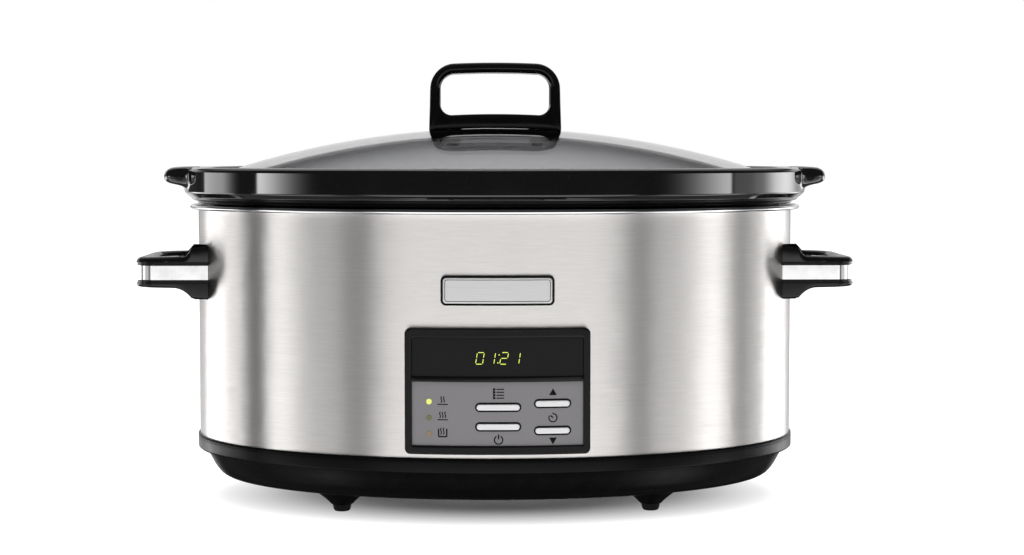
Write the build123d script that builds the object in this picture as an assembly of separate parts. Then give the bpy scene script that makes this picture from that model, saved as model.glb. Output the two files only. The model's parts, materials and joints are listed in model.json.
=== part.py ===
from build123d import *
import os

# Oval programmable slow cooker: heated base, lift-out stoneware crock, glass lid, front control panel.
#
# Frame: origin on the worktop under the middle of the cooker, +Z up, the control panel faces -Y.
# Most of the cooker is a set of concentric ovals, so a radial size is given as a `grow`, the distance
# that an oval lies outside (or, when negative, inside) the outer face of the steel wrap.

# ---- driving dimensions, millimetres -----------------------------------------------------------------
SHELL_A = 187.5  # half width of the steel wrap
SHELL_B = 139.5  # half depth of the steel wrap
SHELL_T = 0.6
SHELL_LOW = 38.0
SHELL_TOP = 183.0
FIT = 0.05  # gap between pieces that are pressed or screwed together

FLOOR_LOW = 12.5  # underside of the plastic base
FLOOR_T = 2.5
BAND_LOW = 31.0  # the base widens into a band that the wrap stands in
BAND_TOP = 40.2
BAND_GROW = 1.2
GROOVE_GROW = 0.3

FOOT_X = 93.5
FOOT_Y = 77.0
FOOT_NECK = 4.2

PAN_WALL_LOW = (62.0, -23.5)  # outside of the heating pan's sloping wall: (height, grow)
PAN_WALL_TOP = (181.0, -5.2)
PAN_T = 0.8
PAN_LIP_TOP = 184.0
PAN_LIP_GROW = 5.2
PAN_FLOOR = 49.6  # underside of the pan

CROCK_FOOT = 50.7
CROCK_BODY = [(CROCK_FOOT, -38.0), (52.5, -33.5), (57.0, -29.5), (64.0, -27.0), (187.5, -9.0)]
CROCK_WELL = [(60.0, -54.0), (61.5, -46.5), (66.0, -40.0), (75.0, -36.0), (190.0, -18.0), (198.5, -17.5)]
RIM_TOP = 207.3
RIM_SIDE = [(186.7, 5.5), (189.4, 8.1), (191.0, 8.5), (203.8, 8.5), (206.2, 7.4), (RIM_TOP, 4.6)]
LEDGE_TOP = 198.5  # the lid stands on this ledge inside the rim
LEDGE_GROW = -3.5
LUG_X = 207.7
LUG_HALF_Y = 38.0
LUG_ROOT = (150.0, 48.0)  # where a lug's side starts, inside the rim
LUG_LOW = 197.0

LID_APEX = 231.6
LID_T = 4.2
LID_R = 545.0  # radius of the dome across the cooker's width
LID_DOME_X = 174.0
LID_EDGE_X = 181.2
LID_LOW = LEDGE_TOP + 0.3
LID_SQUASH = 133.2 / LID_EDGE_X  # depth over width of the lid
LID_SCREWS = (-27.2, 27.2)
LID_SCREW_R = 2.0
SCREW_HEAD_TOP = 224.6
PAD_TOP = LID_APEX + 1.6  # top of the silicone pads under the lid's handle

KNOB_LOW = 228.0
KNOB_TOP = 273.0
KNOB_HALF_X = 40.6
KNOB_BASE_X = 42.0
KNOB_DEPTH = 24.0
KNOB_GAP = (69.0, 26.6, 253.1)  # width, height and middle height of the finger gap

HANDLE_TIP_X = 223.0
HANDLE_ROOT_X = 120.0  # inside the wrap, where the grip is cut off
HANDLE_HALF_Y = 46.0
HANDLE_LOW = 133.0
HANDLE_TOP = 152.5
HANDLE_FLANGE_LOW = 126.0
HANDLE_FLANGE_TOP = 160.0
HANDLE_FLANGE_X = 187.0  # the grip's thick root ends here
HANDLE_SWEEP_LOW = 12.0  # length of the curve from the root into the grip, below and above
HANDLE_SWEEP_TOP = 5.0
HANDLE_SLOT_X = 205.4  # middle of the finger gap
HANDLE_SLOT = (18.4, 66.0, 8.5)  # width, length and corner radius of the finger gap
TRIM_LOW = 138.1
TRIM_TOP = 146.9
TRIM_T = 1.0
HANDLE_SCREW_Y = 37.0
HANDLE_SCREW_Z = 142.5
HANDLE_SCREW_R = 1.7

PANEL_X = 53.7  # half width of the control panel
PANEL_LOW = 42.7
PANEL_TOP = 115.6
PANEL_MIDDLE = (PANEL_LOW + PANEL_TOP) / 2
WINDOW_X = 49.6
WINDOW_LOW = 88.0
WINDOW_TOP = 110.3
KEYPAD_LOW = 47.8
KEYPAD_TOP = 84.8
BEZEL_GROW = 3.0
WINDOW_GROW = (0.5, 1.9)
KEYPAD_GROW = (0.3, 1.8)
BUTTON_GROW = (-1.6, 2.6)
BUTTON_TRAVEL = 0.8
BUTTON_GAP = 0.3
BUTTONS = {  # name: (x, z, width, height)
    "button_menu": (0.3, 70.1, 25.0, 3.8),
    "button_power": (0.3, 58.8, 25.0, 3.8),
    "button_up": (31.7, 72.1, 20.0, 3.8),
    "button_down": (31.7, 56.4, 20.0, 3.8),
}
INDICATOR_X = -39.6
INDICATORS = {"indicator_low": 73.3, "indicator_high": 64.0, "indicator_warm": 54.7}
INDICATOR_R = 1.6

BOARD_FRONT = 131.9  # distance of the control board's front in front of the middle
BOARD_T = 1.6
BOARD_HOLES = [(x, z) for x in (-44.0, 44.0) for z in (51.0, 106.0)]
SWITCH_H = 2.6
HOUSING_BACK = 127.3
HOUSING_T = 1.5
HOUSING_X = 51.0
HOUSING_LOW = 44.8
HOUSING_TOP = 112.0
RIBBON_X = (11.0, 23.0)
RIBBON_T = 0.9

BADGE_Z = 137.4
BADGE_W = 65.7
BADGE_H = 17.3

COVER_A = 113.0
COVER_B = 73.0
COVER_T = 1.1
HATCH_A = 105.0  # opening in the base that the cover closes
HATCH_B = 65.0
COVER_SCREWS = [(0, 69), (0, -69), (82, 45.2), (-82, 45.2), (82, -45.2), (-82, -45.2)]
TIE_R = 2.5
NUT_LOW = 8.4

POWER_BOARD = (51.0, -9.0, 20.0)  # middle of its underside
POWER_BOARD_SIZE = (74.0, 70.0, 1.6)
POWER_BOARD_TOP = POWER_BOARD[2] + POWER_BOARD_SIZE[2]
STANDOFFS = [(20, -38), (80, -26), (20, 20), (80, 20)]

GLAND_Z = 23.0
GLAND_BORE = 3.6
GLAND_FACE = 137.0  # flat at the back of the base that the gland sits in
GLAND_WALL = 5.5
GLAND_NECK = 6.0
GLAND_RIM = 7.4

REFLECTOR_Z = 44.5
SENSOR_X = -45.0
SENSOR_Y = -20.0
SENSOR_LOW = 41.5
SENSOR_LEAD_R = 1.0
HEATER_LOW = 62.0
HEATER_TOP = 98.0
HEATER_GAP_X = 14.0
TAB_X = 6.5  # middle of each heater tab
TAB_Y = 119.5
TAB_LOW = 77.0
TAB_TOP = 83.0
LEAD_Y = 126.0
LEAD_R = 1.2
TERMINAL = (-45.0, 91.0, 27.0)  # middle of the terminal block's top


# ---- helpers -----------------------------------------------------------------------------------------
def oval(grow, low, top):
    """Upright oval cylinder that lies `grow` outside the wrap."""
    return extrude(Pos(0, 0, low) * Ellipse(SHELL_A + grow, SHELL_B + grow), top - low)


def oval_stack(sections):
    """Oval solid through (height, grow) sections."""
    rings = [Pos(0, 0, z) * Ellipse(SHELL_A + grow, SHELL_B + grow) for z, grow in sections]
    return loft(rings, ruled=True)


def block(x_range, y_range, z_range):
    """Box between two values along each axis."""
    ranges = (x_range, y_range, z_range)
    size = [top - low for low, top in ranges]
    middle = [(top + low) / 2 for low, top in ranges]
    return Pos(*middle) * Box(*size)


def tube(radius, low, top, x=0.0, y=0.0, hole=0.0):
    """Upright round bar, with a hole through it when `hole` is given."""
    bar = Pos(x, y, (low + top) / 2) * Cylinder(radius, top - low)
    if hole:
        bar -= Pos(x, y, (low + top) / 2) * Cylinder(hole, top - low + 1)
    return bar


def at(x, z, sketch):
    """Moves an XZ sketch to a place on the front."""
    return Pos(x, z, 0) * sketch


def front_prism(sketch, near=100.0, far=160.0):
    """Extrudes an XZ sketch between two distances in front of the middle."""
    return extrude(Plane.XZ.offset(near) * sketch, far - near)


def front_slab(sketch, inner, outer):
    """An XZ sketch laid on the curved front, between two growths of the wrap's oval."""
    low, height = 20.0, 180.0
    ring = Ellipse(SHELL_A + outer, SHELL_B + outer) - Ellipse(SHELL_A + inner, SHELL_B + inner)
    front = ring & Pos(0, -SHELL_B) * Rectangle(140, 80)
    return front_prism(sketch) & extrude(Pos(0, 0, low) * front, height)


def cable(points, bend, radius):
    """Round cable along straight runs joined by tangent arcs."""
    path = FilletPolyline(*points, radius=bend)
    section = Plane(origin=path @ 0, z_dir=path % 0) * Circle(radius)
    return sweep(section, path=path)


def save(name, shape):
    """Writes one sub-part, which may be a group of solids."""
    solids = shape.solids()
    export_step(solids[0] if len(solids) == 1 else Part(children=solids), f"parts/{name}.step")


# ---- base --------------------------------------------------------------------------------------------
def outer_shell():
    frame = 2.0  # the wrap reaches this far in behind the panel's bezel
    shell = oval(0, SHELL_LOW, SHELL_TOP) - oval(-SHELL_T, SHELL_LOW - 1, SHELL_TOP + 1)
    window = Rectangle(2 * (PANEL_X - frame), PANEL_TOP - PANEL_LOW - 2 * frame)
    shell -= front_prism(at(0, PANEL_MIDDLE, window))
    for side in (1, -1):
        for y in (HANDLE_SCREW_Y, -HANDLE_SCREW_Y):
            shell -= handle_axis(side, y) * Cylinder(HANDLE_SCREW_R + 0.6, 20)
    return shell


def base_tray():
    outline = [(FLOOR_LOW, -22.0), (13.3, -17.8), (14.6, -14.6), (17.0, -11.8), (21.0, -8.9), (BAND_LOW, -3.6)]
    hollow = [(FLOOR_LOW + FLOOR_T, -20.5), (18.0, -14.6), (24.0, -10.0), (BAND_LOW, -6.4), (SHELL_LOW, -4.5)]
    hollow.append((41.0, -4.5))
    pocket_x = 10.0
    tray = oval_stack(outline) + oval(BAND_GROW, BAND_LOW, BAND_TOP)
    tray += block((-15, 15), (100, GLAND_FACE), (FLOOR_LOW, BAND_LOW + 1))
    tray -= oval_stack(hollow)
    tray -= block((-pocket_x, pocket_x), (100, GLAND_FACE - GLAND_WALL), (FLOOR_LOW + FLOOR_T, BAND_LOW + 4))
    tray -= oval(GROOVE_GROW, SHELL_LOW, BAND_TOP + 1)
    tray -= extrude(Pos(0, 0, FLOOR_LOW - 1) * Ellipse(HATCH_A, HATCH_B), FLOOR_T + 2)
    tray -= Pos(0, GLAND_FACE, GLAND_Z) * Rot(90, 0, 0) * Cylinder(GLAND_NECK + FIT, 40)
    for x, y in COVER_SCREWS:
        tray -= tube(1.35, FLOOR_LOW - 1, FLOOR_LOW + FLOOR_T + 1, x, y)
    return tray


def bottom_cover():
    clearance = 1.6
    slot_pitch = 11.0
    cover = extrude(Pos(0, 0, FLOOR_LOW - COVER_T) * Ellipse(COVER_A, COVER_B), COVER_T)
    for x, y in COVER_SCREWS + STANDOFFS:
        cover -= tube(clearance, 0, 20, x, y)
    cover -= tube(TIE_R + 0.3, 0, 20)
    for row in (-3, -2, -1, 1, 2, 3):
        cover -= Pos(-52, row * slot_pitch, FLOOR_LOW) * extrude(SlotOverall(34, 4), 6, both=True)
    return cover


def foot_housing():
    bore = 2.5
    flare = [(6.5, FOOT_NECK), (8.2, 6.0), (11.3, 8.6), (14.0, 10.6), (16.0, FLOOR_LOW)]
    outline = Polyline((bore, FOOT_NECK), *flare, (bore, FLOOR_LOW), close=True)
    return revolve(Plane.XZ * make_face(outline), Axis.Z)


def foot_pad():
    stem = (2.45, 9.0)
    sole = [(0, 0), (4.2, 0), (5.3, 1.2), (5.9, FOOT_NECK)]
    outline = Polyline(*sole, (stem[0], FOOT_NECK), stem, (0, stem[1]), close=True)
    return revolve(Plane.XZ * make_face(outline), Axis.Z)


def pan_wall(z, extra=0.0):
    """(height, grow) of the heating pan's outside wall at a height."""
    (low, low_grow), (top, top_grow) = PAN_WALL_LOW, PAN_WALL_TOP
    return (z, low_grow + (top_grow - low_grow) * (z - low) / (top - low) + extra)


def heating_pan():
    floor_curve = [(PAN_FLOOR, -34.5), (51.3, -29.4), (55.6, -25.9)]
    outside = floor_curve + [PAN_WALL_LOW, PAN_WALL_TOP]
    inside = [(z + PAN_T, grow - PAN_T / 2) for z, grow in floor_curve]
    inside += [pan_wall(62.6, -PAN_T), pan_wall(181.0, -PAN_T), (182.0, -6.0)]
    wall_top = PAN_WALL_TOP[0]
    lip = oval(PAN_LIP_GROW, wall_top, PAN_LIP_TOP)
    lip = fillet(lip.edges().filter_by(GeomType.ELLIPSE), 1.35)
    lip -= oval(-6.0, wall_top - 1, PAN_LIP_TOP + 1)
    channel = oval(0.6, wall_top - 1, PAN_LIP_TOP - PAN_T) - oval(PAN_WALL_TOP[1], wall_top - 2, PAN_LIP_TOP)
    return oval_stack(outside) - oval_stack(inside) + (lip - channel)


def pan_band(inner, outer, low, top, gap_x):
    """Band round the pan's sloping wall, open at the back over `gap_x` each side of the middle."""
    band = oval_stack([pan_wall(low, outer), pan_wall(top, outer)])
    band -= oval_stack([pan_wall(low - 1, inner), pan_wall(top + 1, inner)])
    return band - block((-gap_x, gap_x), (60, 160), (low - 1, top + 1))


def heater_band():
    band = pan_band(0.3, 1.5, HEATER_LOW, HEATER_TOP, HEATER_GAP_X)
    fin = 0.5
    for side in (1, -1):
        x_foot = sorted((side * (TAB_X - fin), side * (HEATER_GAP_X + 4)))
        x_fin = (side * TAB_X - fin, side * TAB_X + fin)
        band += block(x_foot, (TAB_Y, TAB_Y + 1.2), (TAB_LOW, TAB_TOP))
        band += block(x_fin, (TAB_Y, LEAD_Y + 3), (TAB_LOW, TAB_TOP))
    return band


def heater_insulation():
    return pan_band(1.7, 4.2, HEATER_LOW - 4, HEATER_TOP + 4, HEATER_GAP_X + 6)


def heat_reflector():
    hole_margin = 1.5
    plate = extrude(Pos(0, 0, REFLECTOR_Z) * Ellipse(146, 98), 0.5)
    plate -= tube(TIE_R + hole_margin, REFLECTOR_Z - 1, REFLECTOR_Z + 2)
    return plate - tube(9.0, REFLECTOR_Z - 1, REFLECTOR_Z + 2, SENSOR_X, SENSOR_Y)


def cord_gland():
    def bar(radius, near, far):
        return Pos(0, (near + far) / 2, GLAND_Z) * Rot(90, 0, 0) * Cylinder(radius, far - near)

    inside = GLAND_FACE - GLAND_WALL
    gland = bar(GLAND_NECK, inside, GLAND_FACE)
    gland += bar(GLAND_RIM, inside - 2, inside)
    gland += bar(GLAND_RIM, GLAND_FACE, GLAND_FACE + 2)
    gland += bar(5.6, GLAND_FACE + 2, GLAND_FACE + 6.5)
    return gland - bar(GLAND_BORE, inside - 5, GLAND_FACE + 10)


# ---- side handles ------------------------------------------------------------------------------------
def handle_axis(side, y):
    """Frame on the wrap at a handle screw, its Z pointing out of the wrap."""
    x = side * SHELL_A * (1 - (y / SHELL_B) ** 2) ** 0.5
    outward = Vector(x / SHELL_A**2, y / SHELL_B**2, 0)
    return Plane(origin=(x, y, HANDLE_SCREW_Z), z_dir=outward).location


def handle_plan(inset):
    """Outline of the grip seen from above, before it is cut to the wrap."""
    tip_radius = 14.0
    width = HANDLE_TIP_X - inset - HANDLE_ROOT_X
    plan = Pos(HANDLE_ROOT_X + width / 2, 0) * Rectangle(width, 2 * (HANDLE_HALF_Y - inset))
    return fillet(plan.vertices().sort_by(Axis.X)[2:], tip_radius - inset)


def handle_side_profile():
    """Outline of the grip seen from the front: thick at the wrap, sweeping down to the grip."""
    root = HANDLE_FLANGE_X
    low_end = root + HANDLE_SWEEP_LOW
    top_end = root + HANDLE_SWEEP_TOP
    low_step = HANDLE_LOW - HANDLE_FLANGE_LOW
    top_step = HANDLE_FLANGE_TOP - HANDLE_TOP
    outline = [
        Line((HANDLE_ROOT_X, HANDLE_FLANGE_LOW), (root, HANDLE_FLANGE_LOW)),
        Spline((root, HANDLE_FLANGE_LOW), (low_end, HANDLE_LOW), tangents=((0, low_step), (low_step, 0))),
        Line((low_end, HANDLE_LOW), (HANDLE_TIP_X, HANDLE_LOW)),
        Line((HANDLE_TIP_X, HANDLE_LOW), (HANDLE_TIP_X, HANDLE_TOP)),
        Line((HANDLE_TIP_X, HANDLE_TOP), (top_end, HANDLE_TOP)),
        Spline((top_end, HANDLE_TOP), (root, HANDLE_FLANGE_TOP), tangents=((-top_step, 0), (0, top_step))),
        Line((root, HANDLE_FLANGE_TOP), (HANDLE_ROOT_X, HANDLE_FLANGE_TOP)),
        Line((HANDLE_ROOT_X, HANDLE_FLANGE_TOP), (HANDLE_ROOT_X, HANDLE_FLANGE_LOW)),
    ]
    return make_face(outline)


def handle_body():
    height = HANDLE_FLANGE_TOP - HANDLE_FLANGE_LOW
    side_view = extrude(Plane.XZ * handle_side_profile(), HANDLE_HALF_Y + 1, both=True)
    grip = side_view & extrude(Pos(0, 0, HANDLE_FLANGE_LOW) * handle_plan(0), height)
    slot = Pos(HANDLE_SLOT_X, 0, HANDLE_LOW) * extrude(RectangleRounded(*HANDLE_SLOT), 60, both=True)
    rebate = handle_plan(-5) - handle_plan(TRIM_T)
    grip -= slot
    grip -= extrude(Pos(0, 0, TRIM_LOW) * rebate, TRIM_TOP - TRIM_LOW)
    grip -= oval(FIT, 100, 200)
    for y in (HANDLE_SCREW_Y, -HANDLE_SCREW_Y):
        grip -= handle_axis(1, y) * Pos(0, 0, 4) * Cylinder(HANDLE_SCREW_R + FIT, 9)
    return grip


def handle_trim():
    outline = Pos(0, 0, TRIM_LOW + FIT) * (handle_plan(FIT) - handle_plan(TRIM_T - FIT))
    return extrude(outline, TRIM_TOP - TRIM_LOW - 2 * FIT) - oval(2 * FIT, 100, 200)


def handle_bracket():
    low, top = 131.0, 154.0
    near, far = SHELL_T + FIT, SHELL_T + 1.25
    strip = oval(-near, low, top) - oval(-far, low - 1, top + 1)
    strip &= block((120, 240), (-HANDLE_HALF_Y, HANDLE_HALF_Y), (low - 2, top + 2))
    for y in (HANDLE_SCREW_Y, -HANDLE_SCREW_Y):
        strip -= handle_axis(1, y) * Cylinder(HANDLE_SCREW_R + 0.3, 20)
    return strip


def handle_screws():
    shank = Pos(0, 0, 2.8) * Cylinder(HANDLE_SCREW_R, 9.6)
    head = Pos(0, 0, -3.1) * Cylinder(3.4, 2.2)
    places = [handle_axis(side, y) for side in (1, -1) for y in (HANDLE_SCREW_Y, -HANDLE_SCREW_Y)]
    return Compound(children=[place * (shank + head) for place in places])


# ---- control panel -----------------------------------------------------------------------------------
def pane(low, top, clear):
    """Rectangle that fills the window between two heights, less a gap all round."""
    return at(0, (low + top) / 2, Rectangle(2 * (WINDOW_X - clear), top - low - 2 * clear))


def button_outline(name, extra=0.0):
    x, z, width, height = BUTTONS[name]
    return at(x, z, SlotOverall(width + 2 * extra, height + 2 * extra))


def panel_bezel():
    lip = 2.3  # the frame overlaps the wrap's opening by this much
    height = PANEL_TOP - PANEL_LOW
    frame = front_slab(at(0, PANEL_MIDDLE, RectangleRounded(2 * PANEL_X, height, 3.2)), FIT, BEZEL_GROW)
    neck = front_slab(at(0, PANEL_MIDDLE, Rectangle(2 * (PANEL_X - lip), height - 2 * lip)), -2.0, FIT * 3)
    bezel = frame + neck
    bezel -= front_prism(pane(WINDOW_LOW, WINDOW_TOP, 0))
    return bezel - front_prism(pane(KEYPAD_LOW, KEYPAD_TOP, 0))


def display_window():
    return front_slab(pane(WINDOW_LOW, WINDOW_TOP, 2 * FIT), *WINDOW_GROW)


def keypad_plate():
    plate = front_slab(pane(KEYPAD_LOW, KEYPAD_TOP, 2 * FIT), *KEYPAD_GROW)
    for name in BUTTONS:
        plate -= front_prism(button_outline(name, BUTTON_GAP))
    for z in INDICATORS.values():
        plate -= front_prism(at(INDICATOR_X, z, Circle(INDICATOR_R + FIT)))
    return plate


def button(name):
    x, z = BUTTONS[name][:2]
    back, face = BUTTON_GROW
    skirt_front = -0.7
    stem_end = BOARD_FRONT + SWITCH_H + BUTTON_TRAVEL + 0.1
    cap = front_slab(button_outline(name), back, face)
    skirt = front_slab(button_outline(name, 1.1), back, skirt_front)
    stem = front_prism(at(x, z, Circle(1.6)), stem_end, SHELL_B - 1.5)
    return cap + skirt + stem


def indicator(z):
    lens = front_slab(at(INDICATOR_X, z, Circle(INDICATOR_R)), KEYPAD_GROW[0], KEYPAD_GROW[1] + 0.25)
    return lens + front_prism(at(INDICATOR_X, z, Circle(1.1)), BOARD_FRONT, SHELL_B - 2.9)


def panel_housing():
    boss = 2.4
    back_inside = HOUSING_BACK + HOUSING_T
    inner_x = HOUSING_X - HOUSING_T
    box = block((-HOUSING_X, HOUSING_X), (-SHELL_B, -HOUSING_BACK), (HOUSING_LOW, HOUSING_TOP))
    inside_z = (HOUSING_LOW + HOUSING_T, HOUSING_TOP - HOUSING_T)
    box -= block((-inner_x, inner_x), (-SHELL_B - 1, -back_inside), inside_z)
    box &= oval(-SHELL_T - 1.6, HOUSING_LOW - 5, HOUSING_TOP + 5)
    for x, z in BOARD_HOLES:
        box += front_prism(at(x, z, Circle(boss)), HOUSING_BACK + 0.5, BOARD_FRONT - BOARD_T)
        box -= front_prism(at(x, z, Circle(0.95)), HOUSING_BACK + 0.4, BOARD_FRONT)
    ribbon_slot = (RIBBON_X[0] - 1, RIBBON_X[1] + 1)
    return box - block(ribbon_slot, (-130.5, -128.9), (HOUSING_LOW - 1, inside_z[0] + 1))


def control_board():
    board = block((-47.5, 47.5), (-BOARD_FRONT, BOARD_T - BOARD_FRONT), (47.5, 109.5))
    for x, z in BOARD_HOLES:
        board -= front_prism(at(x, z, Circle(1.15)))
    return board


def board_screws():
    screws = []
    for x, z in BOARD_HOLES:
        head = front_prism(at(x, z, Circle(2.0)), BOARD_FRONT, BOARD_FRONT + 1.2)
        screws.append(head + front_prism(at(x, z, Circle(0.9)), HOUSING_BACK + 0.6, BOARD_FRONT))
    return Compound(children=screws)


def tact_switches():
    can_h = SWITCH_H - 0.8
    switches = []
    for x, z, _, _ in BUTTONS.values():
        can = front_prism(at(x, z, Rectangle(6, 6)), BOARD_FRONT, BOARD_FRONT + can_h)
        plunger = front_prism(at(x, z, Circle(1.75)), BOARD_FRONT + can_h, BOARD_FRONT + SWITCH_H)
        switches.append(can + plunger)
    return Compound(children=switches)


def ribbon_cable():
    run_z = 30.0
    start = (-129.75, 56.0)
    bends = [(-129.75, 42.0), (-112.0, run_z), (-52.0, run_z)]
    path = FilletPolyline(start, *bends, (-44.0, POWER_BOARD_TOP), radius=3.0)
    strip = trace(path, RIBBON_T)
    return extrude(Plane.YZ.offset(RIBBON_X[0]) * strip, RIBBON_X[1] - RIBBON_X[0])


def badge_frame():
    border = 1.5
    rim = front_slab(at(0, BADGE_Z, RectangleRounded(BADGE_W, BADGE_H, 3.0)), FIT, border)
    inner = RectangleRounded(BADGE_W - 2 * border, BADGE_H - 2 * border, 1.9)
    return rim - front_slab(at(0, BADGE_Z, inner), 0.5, border + 1)


def badge_plate():
    inset = 1.55
    plate = RectangleRounded(BADGE_W - 2 * inset, BADGE_H - 2 * inset, 1.85)
    return front_slab(at(0, BADGE_Z, plate), 0.55, 1.2)


# ---- inside the base ---------------------------------------------------------------------------------
def power_board():
    x, y, z = POWER_BOARD
    width, depth, thick = POWER_BOARD_SIZE
    board = Pos(x, y, z + thick / 2) * Box(width, depth, thick)
    for hole_x, hole_y in STANDOFFS:
        board -= tube(1.6, z - 1, z + 5, hole_x, hole_y)
    return board


def board_standoffs():
    posts = [tube(3.0, FLOOR_LOW, POWER_BOARD[2], x, y, hole=1.4) for x, y in STANDOFFS]
    return Compound(children=posts)


def power_relay():
    return block((24, 44), (-36, -21), (POWER_BOARD_TOP, POWER_BOARD_TOP + 15.5))


def power_transformer():
    windings = block((60, 80), (-16, 6), (POWER_BOARD_TOP, POWER_BOARD_TOP + 20))
    return windings + block((56, 84), (-18, 8), (POWER_BOARD_TOP + 3, POWER_BOARD_TOP + 17))


def tie_rod():
    plate = 1.2
    return tube(TIE_R, NUT_LOW - 2, PAN_FLOOR - plate) + tube(7.0, PAN_FLOOR - plate, PAN_FLOOR)


def tie_nut():
    height = FLOOR_LOW - COVER_T - NUT_LOW
    nut = extrude(Pos(0, 0, NUT_LOW) * RegularPolygon(4.6, 6), height)
    return nut - tube(TIE_R + 0.02, NUT_LOW - 1, FLOOR_LOW)


def cover_screws():
    under = FLOOR_LOW - COVER_T
    heads = [tube(3.0, under - 1.6, under, x, y) + tube(1.3, under, 15.5, x, y) for x, y in COVER_SCREWS]
    return Compound(children=heads)


def thermal_sensor():
    flange = PAN_FLOOR - 1.2
    disc = tube(7.5, flange, PAN_FLOOR, SENSOR_X, SENSOR_Y)
    return disc + tube(4.5, SENSOR_LOW, flange, SENSOR_X, SENSOR_Y)


def sensor_lead():
    run_z = 33.0
    end_x = 18.0
    down = (SENSOR_X, SENSOR_Y, run_z)
    across = (end_x, SENSOR_Y, run_z)
    points = [(SENSOR_X, SENSOR_Y, SENSOR_LOW), down, across, (end_x, SENSOR_Y, POWER_BOARD_TOP)]
    return cable(points, 3.8, SENSOR_LEAD_R)


def heater_lead(side):
    x, y, z = TERMINAL
    x += side * 6.0
    points = [(x, y, z), (x, y, z + 9), (side * TAB_X, LEAD_Y, z + 15), (side * TAB_X, LEAD_Y, TAB_LOW)]
    return cable(points, 4.5, LEAD_R)


def thermal_fuse():
    return tube(2.4, 54.0, 70.0, -TAB_X, LEAD_Y, hole=LEAD_R + FIT)


def terminal_block():
    x, y, z = TERMINAL
    return block((x - 15, x + 15), (y - 7, y + 7), (FLOOR_LOW + FLOOR_T, z))


# ---- crock -------------------------------------------------------------------------------------------
def ear_plan(shrink):
    """Outline of one end lug seen from above, drawn in by `shrink`; its root lies inside the rim."""
    root = (LUG_ROOT[0], LUG_ROOT[1] - shrink)
    tip = (LUG_X - shrink, LUG_HALF_Y - shrink / 2)
    corners = [root, tip, (tip[0], -tip[1]), (root[0], -root[1])]
    ear = make_face(Polyline(*corners, close=True))
    return fillet(ear.vertices().sort_by(Axis.X)[2:], 17.0)


def crock():
    shoulder = RIM_TOP - 3.2
    ear = extrude(Pos(0, 0, LUG_LOW) * ear_plan(0), shoulder - LUG_LOW)
    ear += loft([Pos(0, 0, shoulder) * ear_plan(0), Pos(0, 0, RIM_TOP) * ear_plan(2.4)], ruled=True)
    ear += loft([Pos(0, 0, 189.0) * ear_plan(19), Pos(0, 0, LUG_LOW) * ear_plan(2)], ruled=True)
    shape = oval_stack(CROCK_BODY) + oval_stack(RIM_SIDE) + ear + mirror(ear, Plane.YZ)
    shape -= oval(LEDGE_GROW, LEDGE_TOP, RIM_TOP + 5)
    return shape - oval_stack(CROCK_WELL + [(RIM_TOP + 5, -17.5)])


# ---- lid ---------------------------------------------------------------------------------------------
def lid_dome(extra, bottom):
    """The oval solid under the dome's outer face, raised by `extra`."""
    apex = LID_APEX + extra

    def dome_z(x):
        return apex - LID_R + (LID_R**2 - x**2) ** 0.5

    edge = (LID_DOME_X, dome_z(LID_DOME_X))
    half = LID_DOME_X / 2
    arc = ThreePointArc((0, apex), (half, dome_z(half)), edge)
    rest = Polyline(edge, (LID_DOME_X, bottom), (0, bottom), (0, apex))
    dome = revolve(Plane.XZ * make_face([arc, rest]), Axis.Z)
    return scale(dome, by=(1, LID_SQUASH, 1))


def lid_glass():
    brim = extrude(Pos(0, 0, LID_LOW) * Ellipse(LID_EDGE_X, LID_EDGE_X * LID_SQUASH), LID_T)
    brim = fillet(brim.edges().filter_by(GeomType.ELLIPSE), 1.9)
    glass = brim + lid_dome(0, LID_LOW) - lid_dome(-LID_T, LID_LOW - 5)
    for x in LID_SCREWS:
        glass -= tube(LID_SCREW_R + 1.2, LID_LOW, LID_APEX + 5, x)
    return glass


def lid_handle():
    waist = 246.0
    right = [(KNOB_BASE_X, KNOB_LOW), (KNOB_HALF_X, waist), (KNOB_HALF_X, KNOB_TOP)]
    left = [(-x, z) for x, z in reversed(right)]
    outer = make_face(Polyline(*right, *left, close=True))
    outer = fillet([v for v in outer.vertices() if v.Y > KNOB_TOP - 1], 11)
    width, height, middle = KNOB_GAP
    face_y = KNOB_DEPTH / 2
    loop = outer - at(0, middle, RectangleRounded(width, height, 6.5))
    knob = front_prism(loop, -face_y, face_y)
    rims = [e for e in knob.edges() if abs(e.center().Y) > face_y - 0.1 and e.center().Z > KNOB_LOW + 1]
    knob = fillet(rims, 2.4)
    knob -= lid_dome(0.3, LID_LOW)
    for x in LID_SCREWS:
        knob -= tube(LID_SCREW_R + FIT, KNOB_LOW, 238.4, x)
        knob -= tube(6.5, KNOB_LOW - 5, PAD_TOP, x)
    return knob


def lid_pads():
    """Silicone washers between the handle's base and the glass."""
    dome = lid_dome(0, 215)
    pads = [tube(6.4, 229.0, PAD_TOP, x, hole=LID_SCREW_R + 0.3) for x in LID_SCREWS]
    return Compound(children=[pad - dome for pad in pads])


def lid_washers():
    """Washers that spread each screw's pull on the underside of the glass."""
    inside = lid_dome(-LID_T, 200)
    rings = [tube(5.6, SCREW_HEAD_TOP, 228.0, x, hole=LID_SCREW_R + 0.3) for x in LID_SCREWS]
    return Compound(children=[ring & inside for ring in rings])


def lid_screws():
    screws = []
    for x in LID_SCREWS:
        head = tube(4.2, SCREW_HEAD_TOP - 2.4, SCREW_HEAD_TOP, x)
        screws.append(head + tube(LID_SCREW_R, SCREW_HEAD_TOP, 238.2, x))
    return Compound(children=screws)


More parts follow.
